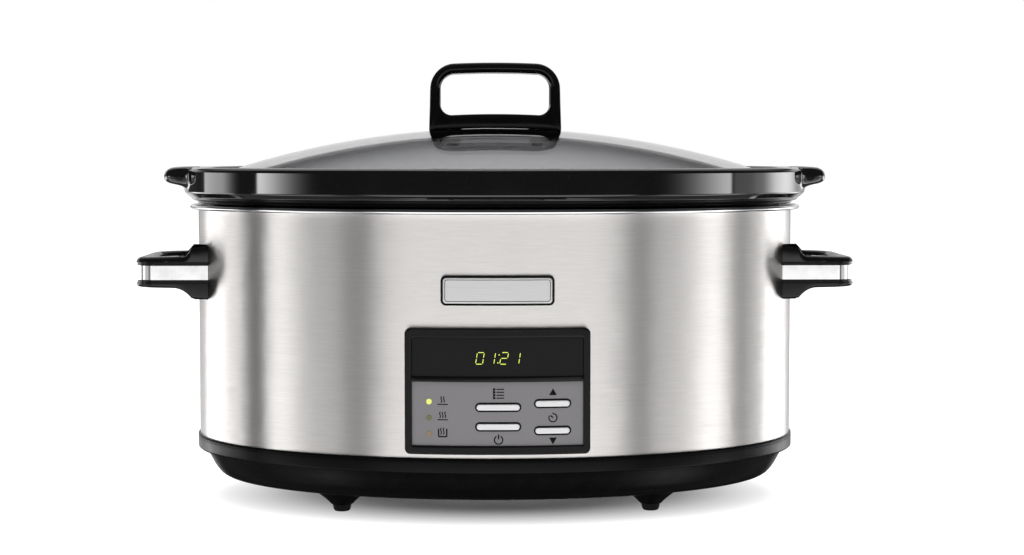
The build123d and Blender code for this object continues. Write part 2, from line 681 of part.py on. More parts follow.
# ---- all sub-parts -----------------------------------------------------------------------------------
def save_feet():
    for end, y in (("front", -FOOT_Y), ("rear", FOOT_Y)):
        for side, x in (("left", -FOOT_X), ("right", FOOT_X)):
            save(f"foot_housing_{end}_{side}", Pos(x, y, 0) * foot_housing())
            save(f"foot_pad_{end}_{side}", Pos(x, y, 0) * foot_pad())


def save_handles():
    makers = {"handle": handle_body, "handle_trim": handle_trim, "handle_bracket": handle_bracket}
    for name, make in makers.items():
        right = make()
        save(f"{name}_right", right)
        save(f"{name}_left", mirror(right, Plane.YZ))


def main():
    os.makedirs("parts", exist_ok=True)
    single = [
        outer_shell, base_tray, bottom_cover, heating_pan, heater_band, heater_insulation, heat_reflector,
        cord_gland, handle_screws, panel_bezel, display_window, keypad_plate, panel_housing, control_board,
        board_screws, tact_switches, ribbon_cable, badge_frame, badge_plate, power_board, board_standoffs,
        power_relay, power_transformer, tie_rod, tie_nut, cover_screws, thermal_sensor, sensor_lead,
        thermal_fuse, terminal_block, crock, lid_glass, lid_handle, lid_pads, lid_washers, lid_screws,
    ]
    for make in single:
        save(make.__name__, make())
    save_feet()
    save_handles()
    for name in BUTTONS:
        save(name, button(name))
    for name, z in INDICATORS.items():
        save(name, indicator(z))
    save("heater_lead_live", heater_lead(-1))
    save("heater_lead_neutral", heater_lead(1))


main()
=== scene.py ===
import json
import math

import bmesh
import bpy
import numpy as np
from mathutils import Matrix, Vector


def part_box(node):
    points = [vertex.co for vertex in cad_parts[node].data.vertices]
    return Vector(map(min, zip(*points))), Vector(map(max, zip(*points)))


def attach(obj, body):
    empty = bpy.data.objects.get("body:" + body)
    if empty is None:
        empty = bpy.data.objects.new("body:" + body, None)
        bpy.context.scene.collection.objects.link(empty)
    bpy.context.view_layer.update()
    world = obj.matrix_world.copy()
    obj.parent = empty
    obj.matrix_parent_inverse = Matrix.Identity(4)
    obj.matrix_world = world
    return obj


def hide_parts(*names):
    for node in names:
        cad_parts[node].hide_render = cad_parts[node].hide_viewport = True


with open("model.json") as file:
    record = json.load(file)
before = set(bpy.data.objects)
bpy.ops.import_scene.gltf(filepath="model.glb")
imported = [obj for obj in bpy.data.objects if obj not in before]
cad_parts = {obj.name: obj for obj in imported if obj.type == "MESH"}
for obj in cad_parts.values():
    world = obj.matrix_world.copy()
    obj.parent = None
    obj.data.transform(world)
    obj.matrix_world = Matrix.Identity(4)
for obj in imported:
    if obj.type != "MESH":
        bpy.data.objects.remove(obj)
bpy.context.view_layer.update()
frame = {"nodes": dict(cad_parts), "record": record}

MM = 0.001
NODES = frame["nodes"]

# ---- driving sizes, from the frame, in metres --------------------------------------------------------
SHELL_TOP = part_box("outer_shell")[1]
A, B = SHELL_TOP.x, SHELL_TOP.y  # half width and half depth of the steel wrap
CROCK_LOW, CROCK_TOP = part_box("crock")
LID_LOW, LID_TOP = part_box("lid_glass")
KNOB_LOW, KNOB_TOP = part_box("lid_handle")
HANDLE_LOW, HANDLE_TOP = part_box("handle_right")
TRIM_LOW, TRIM_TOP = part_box("handle_trim_right")
TRAY_LOW, TRAY_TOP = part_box("base_tray")
PAN_LOW, PAN_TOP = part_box("heating_pan")
BEZEL_LOW, BEZEL_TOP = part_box("panel_bezel")
WINDOW_LOW, WINDOW_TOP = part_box("display_window")
KEYPAD_LOW, KEYPAD_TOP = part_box("keypad_plate")
BADGE_LOW, BADGE_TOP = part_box("badge_frame")


# ---- camera ------------------------------------------------------------------------------------------
def make_camera():
    data = bpy.data.cameras.new("camera")
    data.lens = 77.3
    data.sensor_width = 36.0
    data.clip_end = 50.0
    camera = bpy.data.objects.new("camera", data)
    camera.location = (-14.4 * MM, -1.400, 0.219)
    camera.rotation_euler = (math.radians(90 - 3.36), 0, math.radians(-1.03))
    bpy.context.scene.collection.objects.link(camera)
    bpy.context.scene.camera = camera


make_camera()


# ---- node helpers ------------------------------------------------------------------------------------
class Graph:
    """Short calls for the nodes of one material or world."""

    def __init__(self, owner, clear=True):
        owner.use_nodes = True
        self.tree = owner.node_tree
        if clear:
            self.tree.nodes.clear()

    def node(self, kind, **settings):
        made = self.tree.nodes.new(kind)
        for key, value in settings.items():
            setattr(made, key, value)
        return made

    def link(self, source, target):
        self.tree.links.new(source, target)

    def feed(self, target, value):
        """Puts a number, colour or another node's output into a socket."""
        if isinstance(value, bpy.types.NodeSocket):
            self.link(value, target)
        else:
            target.default_value = value

    def math(self, operation, first, second=0.0):
        made = self.node("ShaderNodeMath", operation=operation)
        self.feed(made.inputs[0], first)
        self.feed(made.inputs[1], second)
        return made.outputs[0]

    def map_range(self, value, low, high, out_low, out_high, interpolation):
        made = self.node("ShaderNodeMapRange", interpolation_type=interpolation)
        self.feed(made.inputs["Value"], value)
        limits = {"From Min": low, "From Max": high, "To Min": out_low, "To Max": out_high}
        for name, number in limits.items():
            made.inputs[name].default_value = number
        return made.outputs["Result"]

    def ramp(self, value, low, high, out_low=0.0, out_high=1.0):
        """Smooth step from out_low to out_high as value goes from low to high."""
        return self.map_range(value, low, high, out_low, out_high, "SMOOTHSTEP")

    def slope(self, value, low, high, out_low, out_high):
        """Straight ramp from out_low to out_high, held at its ends."""
        return self.map_range(value, low, high, out_low, out_high, "LINEAR")

    def band(self, value, low, high, soft):
        """1 between low and high, falling to 0 over `soft` on each side."""
        rise = self.ramp(value, low - soft / 2, low + soft / 2)
        fall = self.ramp(value, high - soft / 2, high + soft / 2, 1.0, 0.0)
        return self.math("MULTIPLY", rise, fall)

    def mix(self, share, first, second):
        made = self.node("ShaderNodeMix", data_type="RGBA")
        self.feed(made.inputs["Factor"], share)
        self.feed(made.inputs[6], first)
        self.feed(made.inputs[7], second)
        return made.outputs[2]

    def position(self, scale=(1, 1, 1)):
        """The place in the row frame, in metres, stretched by scale."""
        place = self.node("ShaderNodeTexCoord").outputs["Object"]
        mapping = self.node("ShaderNodeMapping")
        mapping.inputs["Scale"].default_value = scale
        self.link(place, mapping.inputs["Vector"])
        return mapping.outputs["Vector"]

    def noise(self, vector, scale=1.0, detail=3.0, roughness=0.55):
        made = self.node("ShaderNodeTexNoise")
        self.link(vector, made.inputs["Vector"])
        made.inputs["Scale"].default_value = scale
        made.inputs["Detail"].default_value = detail
        made.inputs["Roughness"].default_value = roughness
        return made.outputs["Fac"]

    def bump(self, height, distance, strength=1.0):
        made = self.node("ShaderNodeBump")
        self.link(height, made.inputs["Height"])
        made.inputs["Distance"].default_value = distance
        made.inputs["Strength"].default_value = strength
        return made.outputs["Normal"]


def colour(value):
    """An RGBA colour from a grey or from three numbers."""
    rgb = (value, value, value) if isinstance(value, (int, float)) else value
    return (*rgb, 1.0)


def surface(name, **sockets):
    """A material with one Principled shader, its sockets set to constants."""
    material = bpy.data.materials.new(name)
    graph = Graph(material)
    shader = graph.node("ShaderNodeBsdfPrincipled")
    output = graph.node("ShaderNodeOutputMaterial")
    graph.link(shader.outputs["BSDF"], output.inputs["Surface"])
    for key, value in sockets.items():
        shader.inputs[key.replace("_", " ")].default_value = value
    return material, graph, shader.inputs


def grained(name, base, roughness, spread, grain, depth, tint=0.15, **sockets):
    """A moulded or cast surface: fine grain in its height, roughness and colour.

    grain is the size of the texture in metres, depth its height in metres.
    """
    material, graph, inputs = surface(name, **sockets)
    place = graph.position()
    fine = graph.noise(place, 1 / grain)
    broad = graph.noise(place, 0.05 / grain, 4.0)
    graph.link(graph.ramp(broad, 0.3, 0.7, roughness - spread, roughness + spread), inputs["Roughness"])
    darker = colour([c * (1 - tint) for c in colour(base)[:3]])
    lighter = colour([min(1.0, c * (1 + tint)) for c in colour(base)[:3]])
    graph.link(graph.mix(fine, darker, lighter), inputs["Base Color"])
    graph.link(graph.bump(fine, depth), inputs["Normal"])
    return material


# ---- materials ---------------------------------------------------------------------------------------
def brushed(name, base, roughness, along, across, anisotropic, depth):
    """Brushed metal. along and across are how many streaks fit in a metre along and across the brushing."""
    material, graph, inputs = surface(name, Metallic=1.0, Anisotropic=anisotropic, Anisotropic_Rotation=0.25)
    tangent = graph.node("ShaderNodeTangent", direction_type="RADIAL", axis="Z")
    graph.link(tangent.outputs["Tangent"], inputs["Tangent"])
    streaks = graph.noise(graph.position((along, along, across)), 1.0, 4.0, 0.65)
    hair = graph.noise(graph.position((along * 0.4, along * 0.4, across * 2.6)), 1.0, 2.0)
    both = graph.math("MULTIPLY", graph.math("ADD", streaks, hair), 0.5)
    darker = colour([c * 0.95 for c in base])
    lighter = colour([min(1.0, c * 1.04) for c in base])
    graph.link(graph.mix(graph.ramp(both, 0.36, 0.64), darker, lighter), inputs["Base Color"])
    graph.link(graph.ramp(both, 0.3, 0.7, roughness + 0.04, roughness - 0.04), inputs["Roughness"])
    graph.link(graph.bump(both, depth), inputs["Normal"])
    return material


def polished(name, base, roughness):
    """Plated or polished metal with faint wipe marks."""
    material, graph, inputs = surface(name, Metallic=1.0)
    inputs["Base Color"].default_value = colour(base)
    haze = graph.noise(graph.position(), 90.0, 5.0, 0.7)
    graph.link(graph.ramp(haze, 0.35, 0.75, roughness, roughness + 0.04), inputs["Roughness"])
    graph.link(graph.bump(haze, 0.0012 * MM), inputs["Normal"])
    return material


def glaze():
    """Black stoneware glaze: glossy, very slightly uneven, with a few pin specks."""
    material, graph, inputs = surface("crock_glaze", Coat_Weight=0.3, Coat_Roughness=0.02, IOR=1.5)
    place = graph.position()
    swell = graph.noise(place, 28.0, 2.0)
    specks = graph.noise(place, 1400.0, 1.0)
    graph.link(graph.mix(graph.ramp(specks, 0.72, 0.78), colour(0.0045), colour(0.030)), inputs["Base Color"])
    graph.link(graph.ramp(swell, 0.3, 0.7, 0.04, 0.07), inputs["Roughness"])
    graph.link(graph.bump(swell, 0.02 * MM, 0.5), inputs["Normal"])
    return material


def clear_glass():
    """Tempered glass with a grey cast and faint haze."""
    material, graph, inputs = surface("lid_glass", Transmission_Weight=1.0, IOR=1.50)
    inputs["Base Color"].default_value = colour((0.50, 0.50, 0.515))
    haze = graph.noise(graph.position(), 30.0, 4.0, 0.6)
    graph.link(graph.ramp(haze, 0.4, 0.8, 0.0, 0.05), inputs["Roughness"])
    return material


def glowing(name, base, light, strength):
    """A lit lens or segment, with a fine grain of brighter and dimmer light."""
    material, graph, inputs = surface(name, Roughness=0.3, Emission_Strength=strength)
    inputs["Base Color"].default_value = colour(base)
    grain = graph.noise(graph.position(), 900.0, 1.0)
    dim = colour([c * 0.85 for c in light])
    graph.link(graph.mix(grain, dim, colour(light)), inputs["Emission Color"])
    return material


def circuit():
    """Solder mask with copper tracks under it."""
    material, graph, inputs = surface("circuit_green", Roughness=0.35, Coat_Weight=0.3)
    tracks = graph.node("ShaderNodeTexBrick", offset=0.37)
    graph.link(graph.position(), tracks.inputs["Vector"])
    tracks.inputs["Scale"].default_value = 160.0
    tracks.inputs["Mortar Size"].default_value = 0.045
    mask = colour((0.01, 0.13, 0.05))
    track = colour((0.05, 0.30, 0.12))
    graph.link(graph.mix(tracks.outputs["Fac"], mask, track), inputs["Base Color"])
    graph.link(graph.bump(tracks.outputs["Fac"], 0.03 * MM), inputs["Normal"])
    return material


def woven(name, base, pitch):
    """Woven glass fibre or braid."""
    material, graph, inputs = surface(name, Roughness=0.85, Sheen_Weight=0.3)
    weave = graph.node("ShaderNodeTexWave", wave_type="BANDS", bands_direction="DIAGONAL")
    graph.link(graph.position(), weave.inputs["Vector"])
    weave.inputs["Scale"].default_value = 0.3 / pitch
    weave.inputs["Distortion"].default_value = 1.5
    thread = weave.outputs["Fac"]
    graph.link(graph.mix(thread, colour([c * 0.7 for c in base]), colour(base)), inputs["Base Color"])
    graph.link(graph.bump(thread, 0.15 * MM), inputs["Normal"])
    return material


STEEL = brushed("steel_wrap", (0.72, 0.70, 0.685), 0.35, 90.0, 2200.0, 0.97, 0.0015 * MM)
PAN_METAL = polished("pan_metal", (0.58, 0.58, 0.59), 0.12)
CHROME = polished("bright_trim", (0.80, 0.80, 0.80), 0.05)
PLATED = brushed("plated_steel", (0.55, 0.55, 0.57), 0.38, 300.0, 900.0, 0.3, 0.01 * MM)
BADGE_SILVER = brushed("badge_silver", (0.645, 0.64, 0.64), 0.36, 60.0, 2600.0, 0.6, 0.006 * MM)
SATIN_BLACK = grained("black_base", 0.003, 0.26, 0.03, 0.45 * MM, 0.0008 * MM, Specular_IOR_Level=0.06)
HANDLE_BLACK = grained("black_handle", 0.005, 0.24, 0.04, 0.5 * MM, 0.0008 * MM, Specular_IOR_Level=0.2)
GLOSS_BLACK = grained("black_gloss", 0.005, 0.14, 0.04, 0.9 * MM, 0.002 * MM, Specular_IOR_Level=0.14)
WINDOW = grained("clear_window", 0.006, 0.10, 0.03, 1.2 * MM, 0.001 * MM, Specular_IOR_Level=0.12)
RUBBER = grained("foot_rubber", 0.005, 0.72, 0.08, 0.35 * MM, 0.03 * MM, Specular_IOR_Level=0.1)
KEYPAD = grained("keypad_grey", (0.214, 0.207, 0.215), 0.48, 0.04, 0.25 * MM, 0.006 * MM, tint=0.05)
BUTTON = grained("button_silver", (0.82, 0.82, 0.83), 0.32, 0.04, 0.3 * MM, 0.004 * MM, tint=0.03)
# dark ink: real print on the icons and badge, and also the painted shade round the buttons
INK_AND_SHADE = grained("print_ink_and_shade", 0.004, 0.5, 0.05, 0.2 * MM, 0.004 * MM, Specular_IOR_Level=0.08)
COMPONENT = grained("component_black", 0.020, 0.5, 0.06, 0.5 * MM, 0.03 * MM)
MICA = grained("mica_tan", (0.50, 0.36, 0.20), 0.45, 0.12, 2.5 * MM, 0.05 * MM, tint=0.3)
CABLE = grained("cable_grey", (0.33, 0.33, 0.34), 0.5, 0.06, 0.6 * MM, 0.02 * MM)
SILICONE = grained("silicone_clear", (0.10, 0.10, 0.10), 0.42, 0.05, 0.6 * MM, 0.01 * MM)
FIBRE = woven("fibre_white", (0.78, 0.77, 0.72), 1.2 * MM)
LED_LIT = glowing("led_yellow", (0.30, 0.31, 0.06), (0.80, 0.86, 0.20), 0.8)
LED_GREEN = grained("led_green", (0.15, 0.155, 0.075), 0.3, 0.04, 0.4 * MM, 0.004 * MM)
LED_AMBER = grained("led_amber", (0.27, 0.19, 0.12), 0.3, 0.04, 0.4 * MM, 0.004 * MM)
SEGMENTS_LIT = glowing("digit_glow", (0.5, 0.6, 0.1), (0.66, 0.74, 0.09), 0.85)
CIRCUIT = circuit()
GLAZE = glaze()
GLASS = clear_glass()

BY_SLOT = {
    "steel_wrap": STEEL, "pan_metal": PAN_METAL, "bright_trim": CHROME, "plated_steel": PLATED,
    "badge_silver": BADGE_SILVER, "black_base": SATIN_BLACK, "black_handle": HANDLE_BLACK,
    "black_gloss": GLOSS_BLACK, "clear_window": WINDOW, "foot_rubber": RUBBER, "keypad_grey": KEYPAD,
    "button_silver": BUTTON, "component_black": COMPONENT, "mica_tan": MICA, "cable_grey": CABLE,
    "silicone_clear": SILICONE, "fibre_white": FIBRE, "led_yellow": LED_LIT, "led_green": LED_GREEN,
    "led_amber": LED_AMBER, "circuit_green": CIRCUIT, "crock_glaze": GLAZE, "lid_glass": GLASS,
}


def paint_cad_nodes():
    """Gives every CAD node the detailed material of its slot."""
    for part in frame["record"]["subparts"]:
        NODES[part["node"]].data.materials[0] = BY_SLOT[part["material_slot"]]


paint_cad_nodes()


# ---- mesh helpers ------------------------------------------------------------------------------------
def add_piece(name, mesh, material, body, replaces=(), sharp=35.0):
    """Links a mesh as a piece that rides on a body."""
    work = bmesh.new()
    work.from_mesh(mesh)
    bmesh.ops.remove_doubles(work, verts=work.verts, dist=0.002 * MM)
    bmesh.ops.recalc_face_normals(work, faces=work.faces)
    work.to_mesh(mesh)
    work.free()
    mesh.polygons.foreach_set("use_smooth", [True] * len(mesh.polygons))
    mesh.set_sharp_from_angle(angle=math.radians(sharp))
    mesh.materials.clear()
    mesh.materials.append(material)
    piece = bpy.data.objects.new(name, mesh)
    bpy.context.scene.collection.objects.link(piece)
    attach(piece, body)
    if replaces:
        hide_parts(*replaces)
    return piece


def mesh_from(name, points, faces):
    mesh = bpy.data.meshes.new(name)
    mesh.from_pydata([tuple(p) for p in points], [], faces)
    return mesh


def ring_mesh(name, rings, closed=True):
    """Skin over rings of equal count. Closed joins the last ring to the first; otherwise ends are capped."""
    count = len(rings[0])
    points = [p for ring in rings for p in ring]
    spans = len(rings) if closed else len(rings) - 1
    faces = []
    for row in range(spans):
        here = row * count
        after = ((row + 1) % len(rings)) * count
        for i in range(count):
            j = (i + 1) % count
            faces.append((here + i, here + j, after + j, after + i))
    if not closed:
        faces.append(tuple(range(count)))
        faces.append(tuple(range(len(points) - count, len(points))))
    return mesh_from(name, points, faces)


def joined(name, *meshes):
    """One mesh that holds several closed meshes."""
    work = bmesh.new()
    for mesh in meshes:
        work.from_mesh(mesh)
    whole = bpy.data.meshes.new(name)
    work.to_mesh(whole)
    work.free()
    return whole


def ellipse_ring(half_x, half_y, z, count, centre=(0.0, 0.0)):
    """Points round a level ellipse."""
    turns = [2 * math.pi * i / count for i in range(count)]
    return [Vector((centre[0] + half_x * math.cos(t), centre[1] + half_y * math.sin(t), z)) for t in turns]


def oval_ring(grow, z, count=288):
    """Points of the oval that lies `grow` outside the steel wrap."""
    return ellipse_ring(A + grow, B + grow, z, count)


def above(base, rows):
    """Rows that start with a height above base in mm, with that height turned into metres."""
    return [(base + row[0] * MM, *row[1:]) for row in rows]


def lathe(name, profile, centre, count=48):
    """Solid turned about Z through centre; its (radius, height) points start and end near the axis."""
    rings = [ellipse_ring(radius, radius, z, count, centre) for radius, z in profile]
    return ring_mesh(name, rings, closed=False)


def arc(centre, radius, start, end, steps=6):
    """Points on an arc, angles in degrees."""
    turns = [math.radians(start + (end - start) * i / steps) for i in range(steps + 1)]
    return [(centre[0] + radius * math.cos(t), centre[1] + radius * math.sin(t)) for t in turns]


# ---- shapes drawn on the curved front -----------------------------------------------------------------
def on_front(x, z, grow):
    """Point on the front at this x and z, `grow` outside the steel wrap."""
    return Vector((x, -(B + grow) * math.sqrt(1 - (x / (A + grow)) ** 2), z))


def box_loop(x_low, x_top, z_low, z_top, radius):
    """Rounded rectangle as a loop of (x, z)."""
    corners = [(x_top, z_top, 0), (x_low, z_top, 90), (x_low, z_low, 180), (x_top, z_low, 270)]
    loop = []
    middle_x, middle_z = (x_low + x_top) / 2, (z_low + z_top) / 2
    for x, z, turn in corners:
        centre = (x - math.copysign(radius, x - middle_x), z - math.copysign(radius, z - middle_z))
        loop += arc(centre, radius, turn, turn + 90, 8)
    return loop


def pill_loop(x, z, width, height):
    return box_loop(x - width / 2, x + width / 2, z - height / 2, z + height / 2, height / 2 * 0.999)


def disc_loop(x, z, radius, count=40):
    return arc((x, z), radius, 0, 360 - 360 / count, count - 1)


def stroke_loop(points, width):
    """Outline of a line of constant width drawn through the points."""
    left, right = [], []
    for i, point in enumerate(points):
        before = Vector(points[max(i - 1, 0)])
        after = Vector(points[min(i + 1, len(points) - 1)])
        ahead = (after - before).normalized() * (width / 2)
        left.append((point[0] - ahead.y, point[1] + ahead.x))
        right.append((point[0] + ahead.y, point[1] - ahead.x))
    return left + right[::-1]


def front_mesh(name, loops, back, face, bevel=0.0):
    """Plate of the given outline (first loop, less any loops inside it), laid on the curved front."""
    curve = bpy.data.curves.new(name, "CURVE")
    curve.dimensions = "2D"
    curve.fill_mode = "BOTH"
    curve.extrude = (face - back) / 2 - bevel
    curve.bevel_depth = bevel
    curve.bevel_resolution = 3
    curve.offset = -bevel
    for loop in loops:
        spline = curve.splines.new("POLY")
        spline.points.add(len(loop) - 1)
        for point, (x, z) in zip(spline.points, loop):
            point.co = (x, z, 0, 1)
        spline.use_cyclic_u = True
    holder = bpy.data.objects.new(name, curve)
    mesh = bpy.data.meshes.new_from_object(holder)
    bpy.data.objects.remove(holder)
    work = bmesh.new()
    work.from_mesh(mesh)
    bmesh.ops.remove_doubles(work, verts=work.verts, dist=0.001 * MM)
    bpy.data.meshes.remove(mesh)
    step = 2.5 * MM
    x_low = min(v.co.x for v in work.verts)
    x_top = max(v.co.x for v in work.verts)
    for i in range(math.ceil(x_low / step), math.floor(x_top / step) + 1):
        everything = work.verts[:] + work.edges[:] + work.faces[:]
        cut = (i * step, 0, 0)
        bmesh.ops.bisect_plane(work, geom=everything, plane_co=cut, plane_no=(1, 0, 0), dist=1e-7)
    middle = (face + back) / 2
    for vert in work.verts:
        vert.co = on_front(vert.co.x, vert.co.y, middle + vert.co.z)
    plate = bpy.data.meshes.new(name)
    work.to_mesh(plate)
    work.free()
    return plate


# ---- stoneware crock ---------------------------------------------------------------------------------
def smooth_max(first, second, blend):
    return (first + second + math.sqrt((first - second) ** 2 + blend**2)) / 2


def smooth_min(first, second, blend):
    return (first + second - math.sqrt((first - second) ** 2 + blend**2)) / 2


def make_crock():
    top, bottom = CROCK_TOP.z, CROCK_LOW.z
    grow_rim = CROCK_TOP.y - B
    ear_tip = CROCK_TOP.x
    rim_low = top - 21.0 * MM
    lug_slope, lug_half = 0.165, 34.5 * MM

    def ear_reach(turn):
        """How far the lug stands out of the rim's oval in this direction."""
        c, s = abs(math.cos(turn)), abs(math.sin(turn))
        oval = 1 / math.hypot(c / (A + grow_rim), s / (B + grow_rim))
        end = ear_tip / max(c, 0.3)
        flank = (lug_slope * ear_tip + lug_half) / (lug_slope * c + s)
        ear = smooth_min(end, flank, 13 * MM)
        return max(0.0, smooth_max(oval, ear, 4.5 * MM) - oval - 0.4 * MM)

    # (height in mm, grow in mm, share of the lug's reach) round the section: from the foot up the outside,
    # then down the inside
    outside = above(bottom, [
        (0, -46.0, 0), (0, -40.0, 0), (0.6, -36.5, 0), (2.5, -32.8, 0), (6.5, -29.6, 0), (14, -27.0, 0),
        (60, -20.6, 0),
    ])
    outside += above(rim_low, [
        (-6, -9.8, 0), (-1.7, -9.2, 0), (-1.5, -0.6, 0), (-1.3, 0.4, 0), (0, 0.9, 0), (0, 1.6, 0),
        (0.2, 2.6, 0), (0.7, 3.6, 0), (1.2, 4.2, 0), (1.4, 4.1, 0), (1.65, 4.35, 0), (2.3, 5.3, 0),
        (3.1, 6.2, 0), (3.9, 7.05, 0), (4.6, 7.8, 0), (5.1, 8.3, 0), (5.3, 8.44, 0), (5.55, 8.5, 0),
        (6.2, 8.5, 0.01), (6.7, 8.5, 0.02), (7.7, 8.5, 0.05), (8.5, 8.5, 0.11), (9.2, 8.5, 0.21),
        (9.8, 8.5, 0.36), (10.4, 8.5, 0.55), (11.0, 8.5, 0.73), (11.8, 8.5, 0.87), (12.7, 8.5, 0.95),
        (14.0, 8.5, 0.99), (15.7, 8.5, 1.0),
    ])
    outside += above(top, [
        (-4.0, 8.5, 0.985), (-2.9, 8.5, 0.95), (-2.6, 8.5, 0.935), (-2.0, 8.35, 0.905), (-1.3, 7.85, 0.88),
        (-0.7, 7.1, 0.855), (-0.2, 5.9, 0.84), (0, 4.4, 0.76), (0, 1.5, 0.4),
    ])
    ledge = LID_LOW.z - 0.3 * MM
    inside = above(top, [
        (0, -0.4, 0), (-0.3, -1.7, 0), (-1.1, -2.7, 0), (-2.4, -3.2, 0),
    ])
    inside += above(ledge, [
        (1.6, -3.5, 0), (0.5, -3.9, 0), (0, -5.0, 0), (0, -15.0, 0), (-0.6, -16.8, 0), (-2.5, -17.7, 0),
        (-8, -18.2, 0),
    ])
    inside += above(bottom, [
        (84, -27.6, 0), (30, -35.0, 0), (19, -38.5, 0), (12.5, -44.0, 0), (9.8, -52.0, 0), (9.3, -60.0, 0),
    ])
    spans = ((0, 8, 10), (8, 24, 60), (24, 90, 60))  # degrees from the lug's middle, and steps in each
    quarter = np.concatenate([np.linspace(start, end, steps + 1)[:-1] for start, end, steps in spans])
    half = np.concatenate([quarter, [90], 180 - quarter[:0:-1]])
    turns = list(np.radians(np.concatenate([half, 180 + half])))
    reaches = [ear_reach(math.atan2(B * math.sin(t), A * math.cos(t))) for t in turns]
    rings = []
    for z, grow, share in outside + inside:
        ring = []
        for t, reach in zip(turns, reaches):
            point = Vector(((A + grow * MM) * math.cos(t), (B + grow * MM) * math.sin(t), 0))
            point += point.normalized() * reach * share
            ring.append((point.x, point.y, z))
        rings.append(ring)
    mesh = ring_mesh("crock_stoneware", rings, closed=False)
    add_piece("crock_stoneware", mesh, GLAZE, "crock", ["crock"], sharp=60)


make_crock()


# ---- heating pan -------------------------------------------------------------------------------------
def make_pan():
    """Pressed metal liner with a lip rolled over the top of the wrap."""
    floor_z, lip_z = PAN_LOW.z, PAN_TOP.z
    lip = (PAN_TOP.y - B) / MM
    bead_r = 1.5
    outside = above(floor_z, [(0, -125.0), (0, -34.5), (1.7, -29.4), (6.0, -25.9), (12.4, -23.5)])
    outside += above(lip_z, [(-3.0, -5.2), (-0.8, -5.2), (-0.8, 0.6), (-2.7, 0.6), (-3.0, 1.0)])
    bead = above(lip_z, [(z - bead_r, lip - bead_r + r) for r, z in arc((0, 0), bead_r, -90, 90, 12)])
    inside = above(lip_z, [(0, -4.8), (-0.2, -5.6), (-0.8, -6.0), (-3.0, -6.0)])
    inside += above(floor_z, [(13.0, -24.2), (6.8, -26.3), (2.5, -29.8), (0.8, -34.9), (0.8, -125.0)])
    rings = [oval_ring(grow * MM, z) for z, grow in outside + bead + inside]
    mesh = ring_mesh("pan_liner", rings, closed=False)
    add_piece("pan_liner", mesh, PAN_METAL, "base", ["heating_pan"], sharp=40)


make_pan()


# ---- glass lid ---------------------------------------------------------------------------------------
DOME_RADIUS = 545.0 * MM
DOME_EDGE = 174.0 * MM
GLASS_T = 4.2 * MM


def dome_z(x, y=0.0):
    """Height of the glass dome's outer face."""
    squash = LID_TOP.y / LID_TOP.x
    reach = math.hypot(x, y / squash)
    return LID_TOP.z - DOME_RADIUS + math.sqrt(DOME_RADIUS**2 - reach**2)


def make_lid_glass():
    squash = LID_TOP.y / LID_TOP.x
    edge = LID_TOP.x
    low = LID_LOW.z
    steps = 26
    radii = [DOME_EDGE * i / steps for i in range(1, steps + 1)]
    profile = [(radius, dome_z(radius)) for radius in radii]
    brim_top = low + GLASS_T
    profile += [(DOME_EDGE + 2 * MM, brim_top + 0.1 * MM), (DOME_EDGE + 4 * MM, brim_top)]
    profile += arc((edge - 2.1 * MM, low + 2.1 * MM), 2.1 * MM, 90, -90, 8)
    profile += [(DOME_EDGE + 4.0 * MM, low), (DOME_EDGE - 1.0 * MM, low + 0.25 * MM)]
    profile += [(radius, dome_z(radius) - GLASS_T) for radius in radii[-2::-1]]
    rings = [ellipse_ring(radius, radius * squash, z, 240) for radius, z in profile]
    mesh = ring_mesh("lid_dome", rings, closed=False)
    add_piece("lid_dome", mesh, GLASS, "lid", ["lid_glass"], sharp=60)


make_lid_glass()


# ---- lid handle --------------------------------------------------------------------------------------
def round_box_section(depth, width, inner_radius, outer_radius, steps=5):
    """Section of a bar as (share across, y): starts inside, goes over the front to the outside and back."""
    half = depth / 2
    quarter = []
    for i in range(steps + 1):
        t = math.radians(90 * i / steps)
        quarter.append((inner_radius * (1 - math.cos(t)), half - inner_radius * (1 - math.sin(t))))
    for i in range(steps + 1):
        t = math.radians(90 * i / steps)
        quarter.append((width - outer_radius * (1 - math.sin(t)), half - outer_radius * (1 - math.cos(t))))
    back = [(across, -y) for across, y in quarter[::-1]]
    return [(across / width, -y) for across, y in quarter] + [(across / width, -y) for across, y in back]


